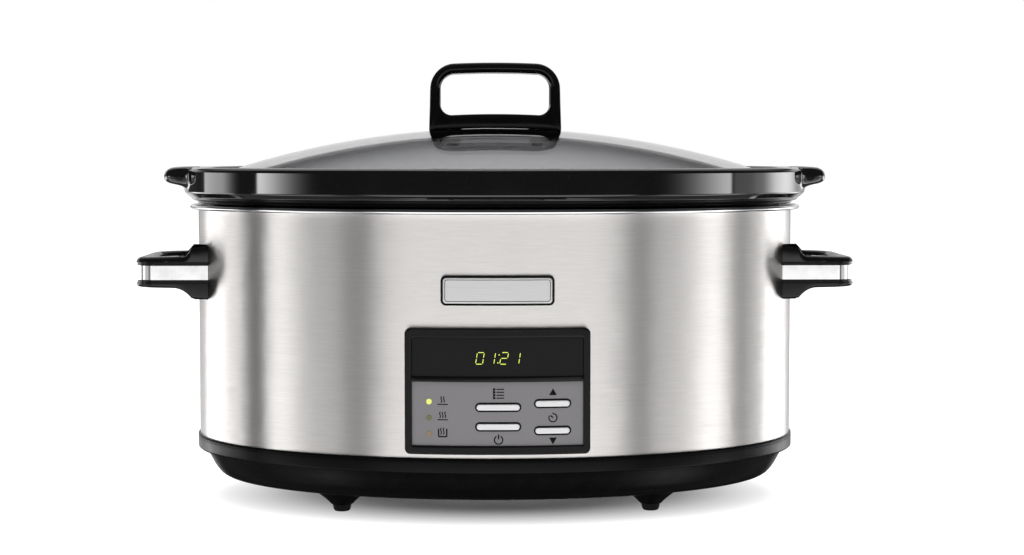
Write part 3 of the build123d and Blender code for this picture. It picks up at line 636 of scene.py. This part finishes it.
def make_lid_handle():
    top = KNOB_TOP.z
    half_x = 41.0 * MM
    base_x = KNOB_TOP.x - 0.2 * MM
    foot_z = dome_z(base_x) + 0.06 * MM
    dome_rise = dome_z(0) - dome_z(base_x)
    depth = KNOB_TOP.y - KNOB_LOW.y
    steps = 14

    def loop(x_top, x_low, z_low, z_top, r_low, r_top, crown_low, crown_top):
        """Rounded frame as (x, z) points: top right corner first, anticlockwise, straight runs between."""
        points = []
        corners = [(1, 1, 0, r_top), (-1, 1, 90, r_top), (-1, -1, 180, r_low), (1, -1, 270, r_low)]
        for sx, sz, start, radius in corners:
            x_side = x_top if sz > 0 else x_low
            middle = (sx * (x_side - radius), (z_top if sz > 0 else z_low) - sz * radius)
            points += arc(middle, radius, start, start + 90, steps)
            if start in (90, 270):
                side = -1 if start == 90 else 1
                for i in range(1, steps):
                    share = i / steps if start == 90 else 1 - i / steps
                    x = side * (x_top + (x_low - x_top) * share)
                    z_from, z_to = z_top - r_top, z_low + r_low
                    points.append((x, z_from + (z_to - z_from) * share))
            else:
                z = z_top if start == 0 else z_low
                span = (x_top - r_top) if start == 0 else (x_low - r_low)
                for i in range(1, steps):
                    x = span - 2 * span * i / steps
                    points.append((x if start == 0 else -x, z))
        bent = []
        for x, z in points:
            lift = 1 - (x / x_low) ** 2
            share = (z - z_low) / (z_top - z_low)
            bent.append((x, z + lift * (crown_top * share + crown_low * (1 - share))))
        return bent

    gap_x = 34.6 * MM
    gap_low, gap_top = top - 33.4 * MM, top - 7.6 * MM
    opening = loop(gap_x, gap_x, gap_low, gap_top, 7.6 * MM, 8.2 * MM, 1.1 * MM, 1.2 * MM)
    outline = loop(half_x, base_x, foot_z, top - 1.5 * MM, 0.6 * MM, 15.0 * MM, dome_rise, 1.5 * MM)
    rings = []
    for (xi, zi), (xo, zo) in zip(opening, outline):
        width = math.hypot(xo - xi, zo - zi)
        low_share = min(1.0, max(0.0, (top - 26 * MM - zo) / (12 * MM)))
        inner_r = 2.9 * MM
        outer_r = 3.0 * MM * (1 - low_share) + 1.1 * MM * low_share
        section = round_box_section(depth, width, min(inner_r, width * 0.47), min(outer_r, width * 0.47))
        ring = []
        for s, y in section:
            x, z = xi + (xo - xi) * s, zi + (zo - zi) * s
            near_glass = min(1.0, max(0.0, 1 - (z - dome_z(x)) / (3 * MM)))
            arch = min(1.0, max(0.0, (33.5 * MM - abs(x)) / (1.5 * MM)))
            ring.append((x, y, z + near_glass * (dome_z(x, y) - dome_z(x) + 0.35 * MM * arch)))
        rings.append(ring)
    mesh = ring_mesh("lid_handle_loop", rings)
    add_piece("lid_handle_loop", mesh, GLOSS_BLACK, "lid", ["lid_handle"], sharp=50)


make_lid_handle()


# ---- side handles ------------------------------------------------------------------------------------
HANDLE_ROOT_END = 187.0 * MM
GRIP_LOW = 133.0 * MM
GRIP_TOP = 152.5 * MM


def root_share(x, y, length, power):
    """How much of the grip's thick root is left at this place; it is all there up to HANDLE_ROOT_END."""
    along = min(1.0, max(0.0, (x - HANDLE_ROOT_END) / length))
    out = min(1.0, max(0.0, (abs(y) - 28 * MM) / (10 * MM)))
    return (1 - along) ** power * out


def make_side_handle(side, name):
    tip, half_y = HANDLE_TOP.x, HANDLE_TOP.y
    groove = 0.7 * MM
    slot_x = (196.2 * MM, 214.6 * MM)
    slot_y, slot_r, tip_r = 33.0 * MM, 8.5 * MM, 14.0 * MM
    steps = 10

    def run(start, end):
        shares = [i / steps for i in range(steps)]
        return [(start[0] + (end[0] - start[0]) * s, start[1] + (end[1] - start[1]) * s) for s in shares]

    def wrap_x(y):
        return (A + 0.1 * MM) * math.sqrt(1 - (y / (B + 0.1 * MM)) ** 2)

    # outer and inner outlines, from the middle of the tip round the +Y arm to the wrap, and back along -Y
    outer = run((tip, 0), (tip, half_y - tip_r))
    outer += arc((tip - tip_r, half_y - tip_r), tip_r, 0, 90, steps)[:-1]
    arm = tip - tip_r - wrap_x(half_y)
    outer += [(tip - tip_r - 0.7 * arm * (1 - (1 - i / steps) ** 1.5), half_y) for i in range(steps)]
    outer += [(wrap_x(y), y) for y in [half_y * (1 - i / (2 * steps)) for i in range(2 * steps)]]
    inner = run((slot_x[1], 0), (slot_x[1], slot_y - slot_r))
    inner += arc((slot_x[1] - slot_r, slot_y - slot_r), slot_r, 0, 90, steps)[:-1]
    inner += run((slot_x[1] - slot_r, slot_y), (slot_x[0] + slot_r, slot_y))
    inner += arc((slot_x[0] + slot_r, slot_y - slot_r), slot_r, 90, 180, steps)[:-1]
    inner += run((slot_x[0], slot_y - slot_r), (slot_x[0], 0))

    def whole(half, last):
        return half + [last] + [(x, -y) for x, y in half[:0:-1]]

    outer = whole(outer, (wrap_x(0), 0))
    inner = whole(inner, (slot_x[0], 0))
    rings = []
    for i, (xo, yo) in enumerate(outer):
        start, end = Vector((xo, yo)), Vector(inner[i])
        ahead = Vector(outer[(i + 1) % len(outer)]) - Vector(outer[i - 1])
        square = Vector((-ahead.y, ahead.x)).normalized()
        width = (end - start).length
        ring = []
        for q, z in handle_section(width, GRIP_LOW, GRIP_TOP, groove):
            share = q / width
            place = start.lerp(end, share) + (square * q - (end - start) * share) * (1 - share) ** 3
            x, y = place
            reach = max(0.0, (x - HANDLE_ROOT_END) / (tip - HANDLE_ROOT_END))
            if z < GRIP_LOW + 2.0 * MM:
                z -= (GRIP_LOW - HANDLE_LOW.z) * root_share(x, y, 12 * MM, 2.2) - 0.7 * MM * reach**2
            if z > GRIP_TOP - 3.3 * MM:
                z += (HANDLE_TOP.z - GRIP_TOP) * root_share(x, y, 5 * MM, 2.0) - 0.8 * MM * reach**2
            ring.append((side * x, y, z))
        rings.append(ring)
    mesh = ring_mesh(name, rings)
    add_piece(name, mesh, HANDLE_BLACK, "base", [name.replace("_grip", "")], sharp=40)


def handle_section(width, low, top, groove):
    """(distance in from the outer wall, height) round a grip's section."""
    r_low, r_top, r_in = 1.8 * MM, 3.2 * MM, 3.0 * MM
    section = arc((r_low, low + r_low), r_low, 270, 180, 4)
    strip_low, strip_top = TRIM_LOW.z, TRIM_TOP.z
    section += [
        (0, strip_low - 2.1 * MM), (groove, strip_low - 1.9 * MM), (groove, strip_low - 0.2 * MM),
        (1.1 * MM, strip_low - 0.1 * MM), (1.1 * MM, strip_top + 0.1 * MM), (groove, strip_top + 0.2 * MM),
        (groove, strip_top + 1.9 * MM), (0.2 * MM, strip_top + 2.05 * MM), (0, strip_top + 2.3 * MM),
    ]
    section += arc((r_top, top - r_top), r_top, 180, 90, 5)
    inner = width - r_in
    across = np.linspace(r_top, inner, 9)[1:-1]
    section += [(q, top) for q in across]
    section += arc((inner, top - r_in), r_in, 90, 0, 4)
    section += arc((inner, low + r_in), r_in, 0, -90, 4)
    section += [(q, low) for q in across[::-1]]
    return section


make_side_handle(1, "handle_right_grip")
make_side_handle(-1, "handle_left_grip")


# ---- base tray and feet ------------------------------------------------------------------------------
def make_tray():
    low, top = TRAY_LOW.z, TRAY_TOP.z
    band_low = 31.0 * MM
    profile = above(low, [
        (2.5, -40.0), (0, -40.0), (0, -25.0), (0.15, -22.4), (0.4, -20.0), (0.8, -17.9), (1.4, -16.0),
        (2.1, -14.6), (3.2, -13.0), (4.5, -11.8), (6.4, -10.3), (8.5, -8.9), (13.5, -6.2),
    ])
    profile += above(band_low, [(-0.6, -3.9), (0, -3.5), (0, -0.2), (0.15, 0.5), (0.6, 1.0), (1.4, 1.2)])
    profile += above(top, [
        (-2.4, 1.2), (-2.2, 1.02), (-1.9, 1.02), (-1.7, 1.2), (-0.5, 1.15), (-0.1, 0.95), (0, 0.6), (0, 0.3),
    ])
    profile += above(0.0, [(38.1, 0.3), (38.1, -4.5), (31.0, -6.4), (24.0, -10.0), (18.0, -14.6)])
    profile += above(low, [(2.6, -20.5)])
    rings = [oval_ring(grow * MM, z) for z, grow in profile]
    bowl = ring_mesh("bowl", rings)
    flat_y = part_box("cord_gland")[1].y - 6.5 * MM
    half = 15.0 * MM
    seat = box_loop(-half, half, low + 0.4 * MM, band_low + 0.6 * MM, 2.0 * MM)
    seat_rings = []
    middle_z = (low + band_low) / 2
    for back, inset in ((14.0, 0.0), (0.6, 0.0), (0.15, 0.18), (0.0, 0.6)):
        shrink = 1 - inset * MM / half
        y = flat_y - back * MM
        seat_rings.append([(x * shrink, y, middle_z + (z - middle_z) * shrink) for x, z in seat])
    boss = ring_mesh("boss", seat_rings, closed=False)
    mesh = joined("base_moulding", bowl, boss)
    add_piece("base_moulding", mesh, SATIN_BLACK, "base", ["base_tray"], sharp=38)


NEAR_AXIS = 0.1 * MM


def make_feet():
    for end in ("front", "rear"):
        for side in ("left", "right"):
            place = f"{end}_{side}"
            housing = f"foot_housing_{place}"
            low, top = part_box(housing)
            centre = (low + top) / 2
            neck, ceiling = low.z, top.z + 0.2 * MM
            flare = [(5.9, 0), (6.6, 0.3), (7.6, 1.3), (9.3, 3.0), (11.6, 4.9), (14.0, 6.7), (15.7, 8.0)]
            flare = [(NEAR_AXIS, neck)] + [(radius * MM, neck + z * MM) for radius, z in flare]
            flare += [(16.0 * MM, ceiling), (NEAR_AXIS, ceiling)]
            cone = lathe("cone", flare, centre)
            add_piece(f"foot_cone_{place}", cone, SATIN_BLACK, "base", [housing])
            tread = [(3.4, 0.0), (4.3, 0.25), (4.9, 0.9), (5.4, 2.2)]
            sole = [(NEAR_AXIS, 0.0)] + [(radius * MM, z * MM) for radius, z in tread]
            sole += [(5.7 * MM, neck), (5.5 * MM, neck + 0.4 * MM), (NEAR_AXIS, neck + 0.4 * MM)]
            pad = lathe("pad", sole, centre)
            add_piece(f"foot_sole_{place}", pad, RUBBER, "base", [f"foot_pad_{place}"])


make_tray()
make_feet()


# ---- control panel -----------------------------------------------------------------------------------
FACE = BEZEL_TOP.x
PANE_X = WINDOW_TOP.x + 0.1 * MM
BEZEL_GROW = 3.0 * MM
KEYPAD_GROW = 1.8 * MM
WINDOW_GROW = 1.9 * MM
BUTTON_GROW = 2.6 * MM


def make_bezel():
    frame_loop = box_loop(-FACE, FACE, BEZEL_LOW.z, BEZEL_TOP.z, 3.2 * MM)
    upper = box_loop(-PANE_X, PANE_X, WINDOW_LOW.z - 0.1 * MM, WINDOW_TOP.z + 0.1 * MM, 0.8 * MM)
    lower = box_loop(-PANE_X, PANE_X, KEYPAD_LOW.z - 0.1 * MM, KEYPAD_TOP.z + 0.1 * MM, 0.8 * MM)
    mesh = front_mesh("bezel_frame", [frame_loop, upper, lower], 0.05 * MM, BEZEL_GROW, 0.55 * MM)
    add_piece("bezel_frame", mesh, GLOSS_BLACK, "base", ["panel_bezel"], sharp=50)


def make_buttons():
    for name in ("button_menu", "button_power", "button_up", "button_down"):
        low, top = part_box(name)
        x, z = (low.x + top.x) / 2, (low.z + top.z) / 2
        width, height = top.x - low.x - 2.4 * MM, top.z - low.z - 2.7 * MM
        cap = front_mesh(name + "_cap", [pill_loop(x, z, width, height)], -1.0 * MM, BUTTON_GROW, 0.5 * MM)
        add_piece(name + "_cap", cap, BUTTON, name, [name], sharp=50)
        # dark ring round each button: partly its real gap and printed border, partly painted shade of the
        # recess, wider at the top where the shade falls
        outside = pill_loop(x, z + 0.15 * MM, width + 1.9 * MM, height + 2.2 * MM)
        hole = pill_loop(x, z, width + 0.5 * MM, height + 0.5 * MM)
        shade_ring = front_mesh(name + "_well", [outside, hole], KEYPAD_GROW - 0.3 * MM, KEYPAD_GROW + 0.04 * MM)
        add_piece(name + "_well", shade_ring, INK_AND_SHADE, "base")


def print_icon(name, loops):
    """Ink printed on the keypad film."""
    parts = [front_mesh(name, [loop], KEYPAD_GROW - 0.02 * MM, KEYPAD_GROW + 0.03 * MM) for loop in loops]
    add_piece(name, joined(name, *parts), INK_AND_SHADE, "base")


def wave_loop(x, z, height, width):
    """A rising heat line."""
    points = []
    for i in range(17):
        share = i / 16
        points.append((x + 0.38 * MM * math.sin(2 * math.pi * share) + 0.5 * MM * share, z + height * share))
    return stroke_loop(points, width)


def ring_stroke(x, z, radius, start, end, width):
    return stroke_loop(arc((x, z), radius, start, end, 32), width)


def make_icons():
    line = 0.6 * MM
    heat_x = -31.7 * MM
    low_z, high_z, warm_z = 73.5 * MM, 64.6 * MM, 55.8 * MM
    for name, z, count in (("icon_low", low_z, 2), ("icon_high", high_z, 3)):
        shifts = [(i - (count - 1) / 2) * 1.5 * MM - 0.25 * MM for i in range(count)]
        loops = [wave_loop(heat_x + shift, z - 0.6 * MM, 3.5 * MM, line) for shift in shifts]
        loops.append(box_loop(heat_x - 3.0 * MM, heat_x + 3.0 * MM, z - 2.0 * MM, z - 1.4 * MM, 0.1 * MM))
        print_icon(name, loops)
    pot_half, pot_low, pot_top = 2.35 * MM, warm_z - 2.7 * MM, warm_z + 1.9 * MM
    pot_left, pot_right = heat_x - pot_half, heat_x + pot_half
    pot = [(pot_left, pot_top), (pot_left, pot_low), (pot_right, pot_low), (pot_right, pot_top)]
    sides = [stroke_loop(pot[i : i + 2], 0.8 * MM) for i in range(3)]
    waves = [wave_loop(heat_x + dx * MM, warm_z - 1.5 * MM, 3.9 * MM, line) for dx in (-1.2, 0.3)]
    print_icon("icon_warm", sides + waves)
    menu_x, menu_z = 0.4 * MM, 78.1 * MM
    rows = [menu_z + dz * MM for dz in (2.55, 0.85, -0.85, -2.55)]
    soft = 0.1 * MM
    left = menu_x - 3.1 * MM
    marks = [box_loop(left, menu_x - 1.7 * MM, z - 0.6 * MM, z + 0.6 * MM, soft) for z in rows]
    marks.append(box_loop(left, menu_x - 2.5 * MM, menu_z - 3.1 * MM, menu_z + 3.1 * MM, soft))
    bars = [box_loop(menu_x - 1.1 * MM, menu_x + 3.3 * MM, z - 0.32 * MM, z + 0.32 * MM, soft) for z in rows]
    print_icon("icon_menu", marks + bars)
    power_x, power_z = 0.5 * MM, 51.3 * MM
    bar = box_loop(power_x - 0.38 * MM, power_x + 0.38 * MM, power_z + 0.3 * MM, power_z + 3.2 * MM, 0.2 * MM)
    print_icon("icon_power", [ring_stroke(power_x, power_z, 2.4 * MM, 120, 420, 0.75 * MM), bar])
    arrow_x = 31.9 * MM
    timer_z = 63.9 * MM
    hand = stroke_loop([(arrow_x, timer_z), (arrow_x - 1.35 * MM, timer_z + 1.35 * MM)], 0.8 * MM)
    tick = box_loop(arrow_x - 0.25 * MM, arrow_x + 0.25 * MM, timer_z + 2.1 * MM, timer_z + 3.1 * MM, soft)
    dial = ring_stroke(arrow_x, timer_z, 2.35 * MM, -215, 90, 0.7 * MM)
    print_icon("icon_timer", [dial, hand, tick])
    for name, z, way in (("icon_up", 79.0 * MM, 1), ("icon_down", 50.4 * MM, -1)):
        height, half = 4.0 * MM, 2.25 * MM
        base_z, tip_z = z - way * height / 2, z + way * height / 2
        triangle = [(arrow_x - half, base_z), (arrow_x + half, base_z), (arrow_x, tip_z)]
        print_icon(name, [triangle])


def digit_segments(shape, x, z):
    """Lit bars of one slanted seven-segment digit whose middle is at x, z."""
    half_w, half_h, thick, slant = 2.0 * MM, 3.35 * MM, 0.42 * MM, 0.16
    gap = 0.28 * MM
    corner = {
        "a": ((-half_w, half_h), (half_w, half_h)), "b": ((half_w, half_h), (half_w, 0)),
        "c": ((half_w, 0), (half_w, -half_h)), "d": ((-half_w, -half_h), (half_w, -half_h)),
        "e": ((-half_w, 0), (-half_w, -half_h)), "f": ((-half_w, half_h), (-half_w, 0)),
        "g": ((-half_w, 0), (half_w, 0)),
    }
    loops = []
    for letter in shape:
        start, end = Vector(corner[letter][0]), Vector(corner[letter][1])
        along = (end - start).normalized()
        start, end = start + along * gap * 1.6, end - along * gap * 1.6
        side = Vector((-along.y, along.x)) * thick / 2
        tip = along * thick / 2
        outline = [start - tip * 0.5, start + side + tip * 0.4, end + side - tip * 0.4, end + tip * 0.5]
        outline += [end - side - tip * 0.4, start - side + tip * 0.4]
        loops.append([(x + p.x + slant * p.y, z + p.y) for p in outline])
    return loops


def make_digits():
    z = (WINDOW_LOW.z + WINDOW_TOP.z) / 2 - 0.6 * MM
    loops = []
    for shape, x in (("abcdef", -10.2 * MM), ("bc", -3.7 * MM), ("abged", 3.7 * MM), ("bc", 10.6 * MM)):
        loops += digit_segments(shape, x, z)
    loops += [disc_loop(0.5 * MM + 0.16 * dz * MM, z + dz * MM, 0.36 * MM, 16) for dz in (2.0, -2.6)]
    parts = [front_mesh("digits", [loop], WINDOW_GROW - 0.02 * MM, WINDOW_GROW + 0.02 * MM) for loop in loops]
    add_piece("display_digits", joined("digits", *parts), SEGMENTS_LIT, "base")


def make_badge():
    """A plain plate: black border, satin field and a thin dark line, with no mark on it."""
    x_low, x_top, z_low, z_top = BADGE_LOW.x, BADGE_TOP.x, BADGE_LOW.z, BADGE_TOP.z

    def outline(inset, radius):
        return box_loop(x_low + inset, x_top - inset, z_low + inset, z_top - inset, radius)

    inner = outline(1.3 * MM, 1.9 * MM)
    border = front_mesh("border", [outline(0, 3.0 * MM), inner], 0.05 * MM, 1.5 * MM, 0.35 * MM)
    add_piece("badge_border", border, GLOSS_BLACK, "base", ["badge_frame"], sharp=50)
    field = front_mesh("field", [inner], 0.3 * MM, 1.35 * MM, 0.2 * MM)
    line_loops = [outline(2.3 * MM, 1.4 * MM), outline(2.65 * MM, 1.2 * MM)]
    line = front_mesh("line", line_loops, 1.3 * MM, 1.40 * MM)
    add_piece("badge_field", field, BADGE_SILVER, "base", ["badge_plate"], sharp=50)
    add_piece("badge_line", line, INK_AND_SHADE, "base")


make_bezel()
make_buttons()
make_icons()
make_digits()
make_badge()


# ---- studio ------------------------------------------------------------------------------------------
# how far from the middle along X the floor begins to glow, and glows in full; the floor's painted shadow lies
# inside this
GLOW_STARTS, GLOW_FULL = 0.078, 0.205


def floor_paper():
    """Pale paper with a glow of its own: white round the object, and dark under it as a painted soft shadow.
    """
    # the grey base colour keeps the painted shadow under the object dark; the glow whitens the rest
    material = grained("floor_paper", 0.42, 0.8, 0.05, 1.5 * MM, 0.01 * MM, tint=0.01, Specular_IOR_Level=0.1)
    graph = Graph(material, clear=False)
    shader = graph.tree.nodes["Principled BSDF"]
    shader.inputs["Emission Strength"].default_value = 1.0
    length = graph.node("ShaderNodeVectorMath", operation="LENGTH")
    graph.link(graph.position((1.0, A / B, 1.0)), length.inputs[0])
    # painted shadow: the glow is nil in an oval under the object and rises to full white outside it
    glow = graph.ramp(length.outputs["Value"], GLOW_STARTS, GLOW_FULL)
    graph.link(glow, shader.inputs["Emission Color"])
    return material


def make_floor():
    half = 12.0
    corners = [(-half, -half, 0), (half, -half, 0), (half, half, 0), (-half, half, 0)]
    mesh = mesh_from("floor", corners, [(0, 1, 2, 3)])
    floor = bpy.data.objects.new("floor", mesh)
    bpy.context.scene.collection.objects.link(floor)
    mesh.materials.append(floor_paper())
    floor.visible_glossy = False


TABLE_LIGHT = 3.0
TABLE_FAR_LIGHT = 1.3
SIDE_GAIN = 0.35
ROOM_LIGHT = 0.05
BACKDROP_TOP = 19.6  # degrees above eye level
BACKDROP_LIGHT = 0.95
# columns on the table, tuned for the front view: (azimuth from, to, edge softness, level), in degrees
STUDIO_COLUMNS = [
    (-180.0, -144.0, 8.0, 0.5), (-140.0, -116.0, 8.0, 2.1), (-116.0, -98.0, 8.0, 1.6),
    (-96.0, -84.5, 4.0, 0.09), (-84.0, -74.0, 4.0, 1.25), (-69.5, -50.0, 8.0, 0.5), (-50.0, -38.0, 5.0, 0.2),
    (34.0, 41.0, 5.0, 1.05), (41.5, 50.0, 5.0, 0.13), (48.0, 70.0, 9.0, 0.56), (74.0, 88.0, 6.0, 1.35),
    (89.0, 98.0, 5.0, 0.48), (100.0, 113.0, 8.0, 0.92), (114.0, 140.0, 10.0, 2.2), (148.0, 180.0, 8.0, 0.35),
]
# strips at eye level, tuned for the front view: (azimuth from, to, fade at each end, level), in degrees
STUDIO_STRIPS = [
    (-124.0, -89.0, 3.0, 17.0, 2.9), (-83.0, -50.0, 2.0, 34.0, 10.0), (44.0, 82.0, 37.5, 2.0, 7.0),
    (81.0, 104.0, 2.0, 8.0, 0.9), (86.0, 152.0, 28.0, 8.0, 5.0),
]


def make_world():
    """White studio: what the object mirrors, by direction, and plain white behind it."""
    world = bpy.data.worlds.new("studio")
    bpy.context.scene.world = world
    graph = Graph(world)
    split = graph.node("ShaderNodeSeparateXYZ")
    graph.link(graph.node("ShaderNodeTexCoord").outputs["Generated"], split.inputs["Vector"])
    x, y, z = split.outputs
    degrees = 180 / math.pi
    azimuth = graph.math("MULTIPLY", graph.math("ARCTAN2", x, graph.math("MULTIPLY", y, -1.0)), degrees)
    elevation = graph.math("MULTIPLY", graph.math("ARCSINE", z), degrees)
    away = graph.math("ABSOLUTE", azimuth)

    # light that comes up from the table: faint near eye level and straight below, strong between
    table = graph.slope(elevation, -22.0, -8.0, TABLE_LIGHT, TABLE_FAR_LIGHT)
    under = graph.ramp(elevation, -62.0, -50.0, 0.02, 1.0)
    under_sides = graph.ramp(elevation, -20.0, -10.0, 0.02, 1.0)
    sides = graph.ramp(away, 85.0, 105.0)
    change = graph.math("MULTIPLY", sides, graph.math("SUBTRACT", under_sides, under))
    table = graph.math("MULTIPLY", table, graph.math("ADD", under, change))
    table = graph.math("MULTIPLY", table, graph.math("ADD", 1.0, graph.math("MULTIPLY", sides, SIDE_GAIN)))
    table = graph.math("MULTIPLY", table, graph.ramp(elevation, -3.0, -2.2, 1.0, 0.0))

    # columns of light and shade on the table
    for low, high, soft, level in STUDIO_COLUMNS:
        share = graph.math("MULTIPLY", graph.band(azimuth, low, high, soft), level - 1.0)
        table = graph.math("MULTIPLY", table, graph.math("ADD", share, 1.0))

    # the dim room in front, and thin strips at eye level for the glossy rim
    front = graph.math("MULTIPLY", graph.ramp(elevation, -3.0, -2.2), ROOM_LIGHT)
    strip = graph.band(elevation, -2.2, 0.2, 0.4)
    for low, high, soft_low, soft_high, level in STUDIO_STRIPS:
        rise = graph.ramp(azimuth, low, low + soft_low)
        fall = graph.ramp(azimuth, high - soft_high, high, 1.0, 0.0)
        share = graph.math("POWER", graph.math("MULTIPLY", rise, fall), 2.0)
        glow = graph.math("MULTIPLY", graph.math("MULTIPLY", share, strip), level)
        front = graph.math("ADD", front, glow)

    # behind: white backdrop to a little above eye level, dim above it, bright ceiling
    behind = graph.ramp(away, 118.0, 142.0)
    backdrop = graph.ramp(elevation, BACKDROP_TOP - 1.2, BACKDROP_TOP + 1.2, BACKDROP_LIGHT, 0.08)
    backdrop = graph.math("ADD", backdrop, graph.ramp(elevation, 20.0, 53.0, 0.0, 1.3))
    screened = graph.math("MAXIMUM", graph.ramp(away, 156.0, 162.0), graph.band(azimuth, -165.0, -124.0, 6.0))
    screen = graph.math("MULTIPLY", screened, graph.ramp(elevation, 1.6, 2.6, 0.93, 0.0))
    backdrop = graph.math("MULTIPLY", backdrop, graph.math("SUBTRACT", 1.0, screen))
    backdrop = graph.math("MULTIPLY", backdrop, graph.ramp(elevation, -3.0, -2.2))
    front = graph.math("MULTIPLY", front, graph.math("SUBTRACT", 1.0, behind))
    backdrop = graph.math("MULTIPLY", backdrop, behind)
    light = graph.math("ADD", table, graph.math("ADD", front, backdrop))

    seen = graph.node("ShaderNodeLightPath").outputs["Is Camera Ray"]
    background = graph.node("ShaderNodeBackground")
    graph.link(graph.mix(seen, light, colour(1.0)), background.inputs["Color"])
    output = graph.node("ShaderNodeOutputWorld")
    graph.link(background.outputs["Background"], output.inputs["Surface"])


def area_light(name, place, target, size, power):
    data = bpy.data.lights.new(name, "AREA")
    data.shape = "RECTANGLE"
    data.size, data.size_y = size
    data.energy = power
    lamp = bpy.data.objects.new(name, data)
    lamp.location = place
    lamp.rotation_euler = (Vector(target) - Vector(place)).to_track_quat("-Z", "Y").to_euler()
    lamp.visible_camera = False
    lamp.visible_glossy = False
    bpy.context.scene.collection.objects.link(lamp)


make_floor()
make_world()
area_light("overhead", (0, -0.2, 2.2), (0, 0, 0.1), (3.0, 3.0), 75.0)
bpy.context.scene.view_settings.view_transform = "Standard"
